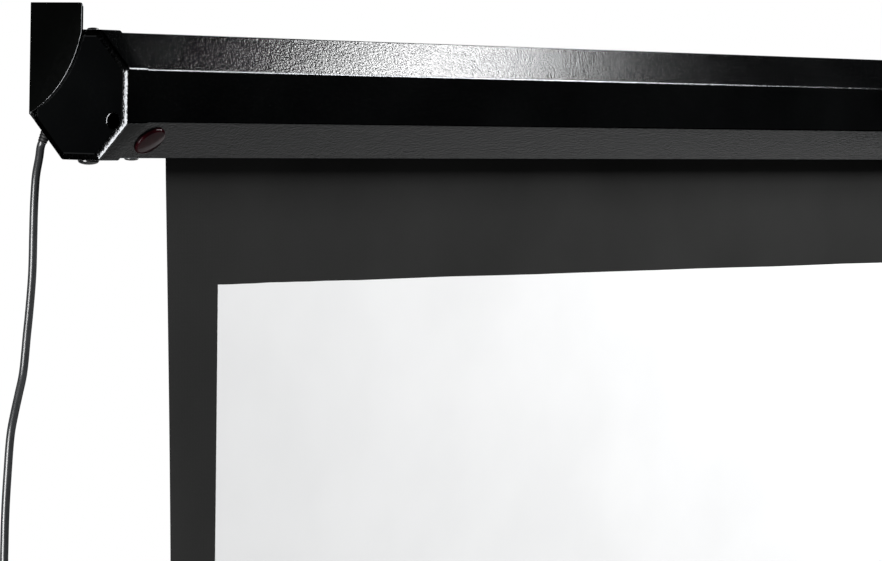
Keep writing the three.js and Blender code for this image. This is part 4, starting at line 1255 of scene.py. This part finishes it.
def nutTree():
    tree, sizes, add, calc = newTree("hexagonNuts", nutSizes, onPoints=True)
    thickness, crown = sizes["Thickness"], sizes["Crown"]
    hexagonSize = {"Radius": sizes["Radius"], "Depth": thickness}
    hexagon = add("MeshCylinder", Vertices=nutSegments["side"], **hexagonSize)
    base = calc("ADD", crown, calc("MULTIPLY", thickness, nutSpread))
    cones = []
    for turn in (0.0, math.pi):
        ends = {"Radius Top": crown, "Radius Bottom": base, "Depth": thickness}
        cone = add("MeshCone", Vertices=nutSegments["cone"], **ends)
        lowered = raised(tree, cone, thickness, -0.5)
        cones.append(add("Transform", Geometry=lowered, Rotation=(turn, 0.0, 0.0)))
    crowned = boolean(tree, "INTERSECT", hexagon, *cones)
    boreSize = {"Radius": sizes["Bore"], "Depth": calc("MULTIPLY", thickness, 2.0)}
    bore = add("MeshCylinder", Vertices=nutSegments["bore"], **boreSize)
    nut = raised(tree, boolean(tree, "DIFFERENCE", crowned, bore), thickness, 0.5)
    return finishTree(tree, instancesOf(tree, sizes["Points"], nut), "zincPlate")


def makeNuts():
    places, directions = zip(*nutPlaces.values())
    base = pointMesh("nut_points", places, directions, [(1, 1, 1)] * len(places))
    piece = runTree("hexagon_nuts", nutTree(), base, nutSizes, "zincPlate", 30)
    seat(piece, "case", "zinc_steel", *nutPlaces)


makeNuts()
print("screws and nuts made")

# Infrared window: a shallow dome on a rim, with a threaded boss behind it
lensSizes = {
    "rim": 13,
    "rimThickness": 0.6,
    "rimSeat": 0.15,
    "shoulder": 1.8,
    "shoulderTurn": 78,
    "dome": 3.4,
    "boss": 10.7,
    "bossDepth": 6,
    "bossTop": -0.1,
    "hollow": (0.6, 0.35),
    "threads": 6,
    "threadStart": 0.4,
    "threadDepth": 0.3,
    "threadHeight": 0.35,
    "wall": 1.4,
    "steps": 14,
    "sides": 72,
}


def makeLens():
    sizes = lensSizes
    rim, dome, boss, wall = (sizes[label] for label in ("rim", "dome", "boss", "wall"))
    shoulder, bottom, threadStart = sizes["shoulder"], -sizes["bossDepth"], sizes["threadStart"]
    inner = boss - wall
    across, above = sizes["hollow"]
    profile = [(0, dome - wall), (inner * across, dome * above), (inner, -wall)]
    profile += [(inner, bottom), (boss, bottom)]
    for step in range(sizes["threads"]):
        rise = step * (sizes["bossDepth"] - threadStart * 2) / sizes["threads"]
        z = bottom + threadStart + rise
        profile += [(boss, z), (boss - sizes["threadDepth"], z + sizes["threadHeight"])]
    profile += [(boss, sizes["bossTop"]), (boss, sizes["rimSeat"]), (rim, sizes["rimSeat"])]
    for angle in turns(sizes["steps"], math.radians(sizes["shoulderTurn"])):
        z = sizes["rimThickness"] + shoulder * math.sin(angle)
        profile.append((rim - shoulder * (1 - math.cos(angle)), z))
    flat, low = profile[-1]
    for step in range(1, sizes["steps"] + 1):
        part = step / sizes["steps"]
        profile.append((flat * (1 - part), low + (dome - low) * part * (2 - part)))
    shape = revolve(profile, *lensPlace, sizes["sides"])
    seat(newPiece("infrared_window", shape, "redLens", 40), "case", "red_lens", "ir_lens")


makeLens()

# Cloth: a dark sheet with a thin white layer on its front; its free sides curl forward
cloth = {
    "left": 104.5,
    "right": 2088.5,
    "top": 46,
    "bottom": -1207.3,
    "split": 18,
    "front": 52.1,
    "sideBorder": 62,
    "pictureTop": -95,
    "pictureBottom": -1141,
    "pictureInset": 0.3,
    "barTop": -1202,
    "curl": 16.4,
    "curlReach": 44,
    "keep": 0.0004,
    "topWave": 0.3,
    "waves": ((0.5, 0.031, 0), (0.3, 0.083, 1), (0.2, 0.19, 2)),
    "darkSet": 0.14,
    "darkThickness": 0.36,
    "whiteThickness": 0.1,
    "edgeStep": 6,
    "edgeSteps": 30,
    "middleStep": 60,
    "rowStep": 15,
}


def curlAt(x, z):
    drop = min(max(z / cloth["barTop"], 0), 1)
    fromSide = min(x - cloth["left"], cloth["right"] - x)
    return cloth["curl"] * math.sin(drop * math.pi) * math.exp(-fromSide / cloth["curlReach"])


def columnsBetween(left, right):
    edge = [cloth["edgeStep"] * step for step in range(cloth["edgeSteps"])]
    near = edge[-1]
    middle = round((right - left - 2 * near) / cloth["middleStep"])
    inside = [near + (right - left - 2 * near) * step / middle for step in range(1, middle)]
    spans = edge + inside + [right - left - reach for reach in reversed(edge)]
    return [left + reach for reach in spans]


def rowsBetween(bottom, top):
    count = round((top - bottom) / cloth["rowStep"])
    return [bottom + (top - bottom) * step / count for step in range(count + 1)]


def topWave(x):
    return cloth["topWave"] * sum(
        share * math.sin(x * pace + start) for share, pace, start in cloth["waves"]
    )


# Lays a sheet's pattern on a map in metres.
def mapCloth(piece, placeOnMap):
    clothMap = piece.data.uv_layers.new(name="clothMap")
    for loop in piece.data.loops:
        index = loop.vertex_index
        clothMap.data[loop.index].uv = placeOnMap(index, piece.data.vertices[index].co)


def makeSheet(name, spanX, spanZ, front, back, finish, wavyTop=False):
    columns, rows = columnsBetween(*spanX), rowsBetween(*spanZ)
    across = len(columns)
    points = []
    for y in (front, back):
        for row, z in enumerate(rows):
            for x in columns:
                lift = topWave(x) if wavyTop and row == len(rows) - 1 else 0
                points.append((x, y - curlAt(x, z), z + lift))
    layer = across * len(rows)
    faces = []
    for row in range(len(rows) - 1):
        for column in range(across - 1):
            near = row * across + column
            face = (near, near + 1, near + across + 1, near + across)
            faces += [face, tuple(layer + index for index in reversed(face))]
    rim = list(range(across))
    rim += [row * across + across - 1 for row in range(1, len(rows))]
    rim += [(len(rows) - 1) * across + column for column in range(across - 2, -1, -1)]
    rim += [row * across for row in range(len(rows) - 2, 0, -1)]
    for here, after in zip(rim, rim[1:] + rim[:1]):
        faces.append((here, layer + here, layer + after, after))
    piece = newPiece(name, (points, faces), finish, 50, repaired=False)
    mapCloth(piece, lambda index, co: (co.x, co.z))
    return piece


# Turns of cloth that stay on the roller, as one wound strip
clothTurns = {
    "y": 30.5,
    "z": 46,
    "inner": 20.3,
    "outer": 21.3,
    "thickness": 0.3,
    "turns": 2,
    "stepsPerTurn": 120,
}


def makeClothTurns():
    sizes = clothTurns
    steps = sizes["turns"] * sizes["stepsPerTurn"]
    growth = sizes["outer"] - sizes["inner"] - sizes["thickness"]
    points = []
    for x in (cloth["left"], cloth["right"]):
        for layer in (0, sizes["thickness"]):
            for step in range(steps + 1):
                angle = (step / steps - 1) * sizes["turns"] * math.tau
                radius = sizes["inner"] + growth * step / steps + layer
                y = sizes["y"] + radius * math.cos(angle)
                points.append((x, y, sizes["z"] + radius * math.sin(angle)))
    row = steps + 1
    faces = [(0, 2 * row, 3 * row, row), (row - 1, 2 * row - 1, 4 * row - 1, 3 * row - 1)]
    for near in range(steps):
        after = near + 1
        faces.append((near, after, 2 * row + after, 2 * row + near))
        faces.append((row + near, 3 * row + near, 3 * row + after, row + after))
        faces.append((near, row + near, row + after, after))
        faces.append((2 * row + near, 2 * row + after, 3 * row + after, 3 * row + near))
    piece = newPiece("cloth_turns", (points, faces), "borderCloth", 50)
    middle = (sizes["inner"] + sizes["outer"]) / 2
    length = middle * sizes["turns"] * math.tau * millimetre
    mapCloth(piece, lambda index, co: (co.x, index % row / steps * length))
    seat(piece, "roller", "border_cloth", "cloth_wrap")


# Hanging sheets, each seated on the body that holds it
def makeSheets():
    left, right, inset = cloth["left"], cloth["right"], cloth["pictureInset"]
    bottom, split, top = cloth["bottom"], cloth["split"], cloth["top"]
    low, high = cloth["pictureBottom"], cloth["pictureTop"]
    border = cloth["sideBorder"]
    front = cloth["front"]
    darkFront = front + cloth["darkSet"]
    dark = (darkFront, darkFront + cloth["darkThickness"], "borderCloth")
    white = (front, front + cloth["whiteThickness"], "pictureCloth", True)
    pictureSpan = (left + border + inset, right - border - inset)
    pieces = [
        makeSheet("dark_cloth", (left, right), (bottom, split), *dark),
        makeSheet("dark_cloth_lead_in", (left, right), (split, top), *dark),
        makeSheet("white_surface", pictureSpan, (low + inset, high - inset), *white),
    ]
    darkCloth, leadInCloth, whiteSurface = pieces
    seat(darkCloth, "case", "border_cloth", "screen_border")
    seat(leadInCloth, "case", "border_cloth", "screen_border")
    seat(whiteSurface, "case", "picture_cloth", "picture_surface")
    for piece in (darkCloth, whiteSurface):
        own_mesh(piece)


makeClothTurns()
makeSheets()
print("cloth made")

# Pieces that keep the CAD's shape, with rounded edges
rounded = {
    "weight_bar": ("weight_bar_profile", "blackAluminium", "black_aluminium", "weight_bar", 0.4),
    "left_bar_cap": ("bar_cap_left", "blackPlastic", "black_plastic", "weight_bar", 0.6),
    "right_bar_cap": ("bar_cap_right", "blackPlastic", "black_plastic", "weight_bar", 0.6),
    "motor_head": ("motor_head_housing", "blackPlastic", "black_plastic", "case", 0.5),
    "control_box": ("relay_box", "blackPlastic", "black_plastic", "case", 0.4),
    "control_box_lid": ("relay_box_lid", "blackPlastic", "black_plastic", "case", 0.4),
    "relay_up": ("relay_for_up", "relayCase", "black_plastic", "case", 0.5),
    "relay_down": ("relay_for_down", "relayCase", "black_plastic", "case", 0.5),
    "ir_lens_nut": ("window_nut", "blackPlastic", "black_plastic", "case", 0.4),
}
for node, (name, finish, slot, body, edge) in rounded.items():
    seat(softened(name, node, finish, edge), body, slot, node)

# Pieces that stay as the CAD has them
kept = {
    "zincPlate": ("motor_support", "idler_support", "motor_tube", "drive_shaft", "idler_pin"),
    "drawnAluminium": ("roller_tube",),
    "blackPlastic": ("drive_wheel", "idler_plug", "ir_sensor"),
    "whitePlastic": (
        "idler_bearing", "crown_ring", "hem_rod", "limit_screw_up", "limit_screw_down",
    ),
    "circuitBoard": ("receiver_board", "control_board"),
}
for finish, nodes in kept.items():
    for node in nodes:
        for slot in cadNodes[node].material_slots:
            slot.material = finishes[finish]
print("fittings dressed")

# Leads inside the case, from the motor and the receiver to the box
innerLeads = {
    "motor_flex": (
        "motor_lead", 2.5,
        (
            (64, 33.5, 61), (59, 33.5, 61), (54, 33.5, 58),
            (45, 39.45, 51), (45, 42.45, 51), (45, 45.15, 51),
        ),
    ),
    "receiver_flex": (
        "receiver_lead", 1.25,
        (
            (43, 21.036, 21.036), (43, 23.157, 23.157),
            (39, 36.45, 45), (39, 42.45, 45), (39, 45.15, 45),
        ),
    ),
}
innerLeadSteps = 8
for name, (node, radius, places) in innerLeads.items():
    path = smoothPath([Vector(place) for place in places], innerLeadSteps)
    seat(roundCord(name, path, radius), "case", "cord_sheath", node)
print("leads laid")

# Studio: a pale floor that fades into white surroundings, and soft boxes. The floor is darker for
# light that it throws back on the screen than for the camera.
studio = {
    "floorHeight": -2.3,
    "floorX": (-2.2, 5),
    "floorY": (-1.9, 1.9),
    "floorRoughness": 0.8,
    "floorShown": ((0.74, 0.74, 0.73), (0.79, 0.79, 0.78)),
    "floorMirrored": ((0.46, 0.46, 0.45), (0.5, 0.5, 0.49)),
    "floorBounce": (0.28, 0.28, 0.28, 1),
    "fadeFrom": 0.6,
    "ambient": 0.2,
    "backdropToward": (0.797, 0.604, 0),
    "backdropFrom": 0.82,
    "backdropFull": 0.97,
}
softBoxes = {
    "bevelBox": {
        "aim": (345, 14, 82), "toward": (0.797, -0.039, 0.603), "distance": 2.2,
        "size": (0.38, 0.2), "turn": 0, "power": 7.6,
    },
    "foldBox": {
        "aim": (560, 2, 70), "toward": (0.797, -0.456, 0.399), "distance": 2.4,
        "size": (0.4, 1.0), "turn": -35, "power": 27,
    },
    "frontBox": {
        "aim": (1700, 50, -500), "toward": (0.03, -0.67, 0.74), "distance": 2.6,
        "size": (1.7, 1.3), "turn": 0, "power": 81,
    },
    "sideBox": {
        "aim": (0, 10, 40), "toward": (-0.93, 0.06, -0.36), "distance": 1.6,
        "size": (0.75, 1.7), "turn": 0, "power": 46,
    },
}


def makeFloor():
    (left, right), (front, back) = studio["floorX"], studio["floorY"]
    corners = ((left, front), (right, front), (right, back), (left, back))
    mesh = bpy.data.meshes.new("floor")
    mesh.from_pydata([(*corner, studio["floorHeight"]) for corner in corners], [], [(0, 1, 2, 3)])
    finish, tree, shader = startFinish("paleFloor")
    patches = patternOf(tree, "Object", "noise", 2, 4)
    mirrored, shown = (tint(tree, patches, *studio[use]) for use in ("floorMirrored", "floorShown"))
    rays = tree.nodes.new("ShaderNodeLightPath").outputs
    unseen = mixOf(tree, rays["Is Diffuse Ray"], mirrored, studio["floorBounce"])
    link(tree, mixOf(tree, rays["Is Camera Ray"], unseen, shown), shader.inputs["Base Color"])
    link(tree, studio["floorRoughness"], shader.inputs["Roughness"])
    middle = ((left + right) / 2, (front + back) / 2, 0)
    around = addNode(
        tree,
        "ShaderNodeMapping",
        {"vector_type": "TEXTURE"},
        Vector=placeOf(tree),
        Location=middle,
        Scale=(right - middle[0], back - middle[1], 1),
    )
    parts = addNode(tree, "ShaderNodeSeparateXYZ", Vector=around.outputs["Vector"]).outputs
    reaches = [mathOf(tree, "ABSOLUTE", parts[axis]) for axis in ("X", "Y")]
    fades = [spread(tree, reach, 1, 0, studio["fadeFrom"], 1) for reach in reaches]
    link(tree, mathOf(tree, "MULTIPLY", *fades), shader.inputs["Alpha"])
    mesh.materials.append(finish)
    placed("floor", mesh)


def makeWorld():
    world = bpy.data.worlds.new("studio")
    scene.world = world
    world.use_nodes = True
    tree = world.node_tree
    tree.nodes.clear()
    rays = tree.nodes.new("ShaderNodeLightPath").outputs
    place = tree.nodes.new("ShaderNodeTexCoord").outputs["Generated"]
    behind = vectorMath(tree, "DOT_PRODUCT", place, studio["backdropToward"])
    backdrop = spread(tree, behind, 0, 1, studio["backdropFrom"], studio["backdropFull"])
    glossy = mathOf(tree, "MULTIPLY", rays["Is Glossy Ray"], backdrop)
    seen = mathOf(tree, "MAXIMUM", rays["Is Camera Ray"], rays["Is Transmission Ray"])
    ambient = mathOf(tree, "MULTIPLY", rays["Is Diffuse Ray"], studio["ambient"])
    strength = mathOf(tree, "MAXIMUM", ambient, mathOf(tree, "MAXIMUM", seen, glossy))
    glow = addNode(tree, "ShaderNodeBackground", Color=(1, 1, 1, 1), Strength=strength)
    addNode(tree, "ShaderNodeOutputWorld", Surface=glow.outputs[0])


def makeSoftBox(name, settings):
    lamp = bpy.data.lights.new(name, "AREA")
    lamp.shape = "RECTANGLE"
    lamp.size, lamp.size_y = settings["size"]
    lamp.energy = settings["power"]
    body = placed(name, lamp)
    toward = Vector(settings["toward"]).normalized()
    body.location = at(*settings["aim"]) + toward * settings["distance"]
    turn = Quaternion((0, 0, 1), math.radians(settings["turn"]))
    body.rotation_euler = (toward.to_track_quat("Z", "Y") @ turn).to_euler()


makeFloor()
makeWorld()
for boxName, boxSettings in softBoxes.items():
    makeSoftBox(boxName, boxSettings)
scene.view_settings.view_transform = "Standard"
print("studio lit")
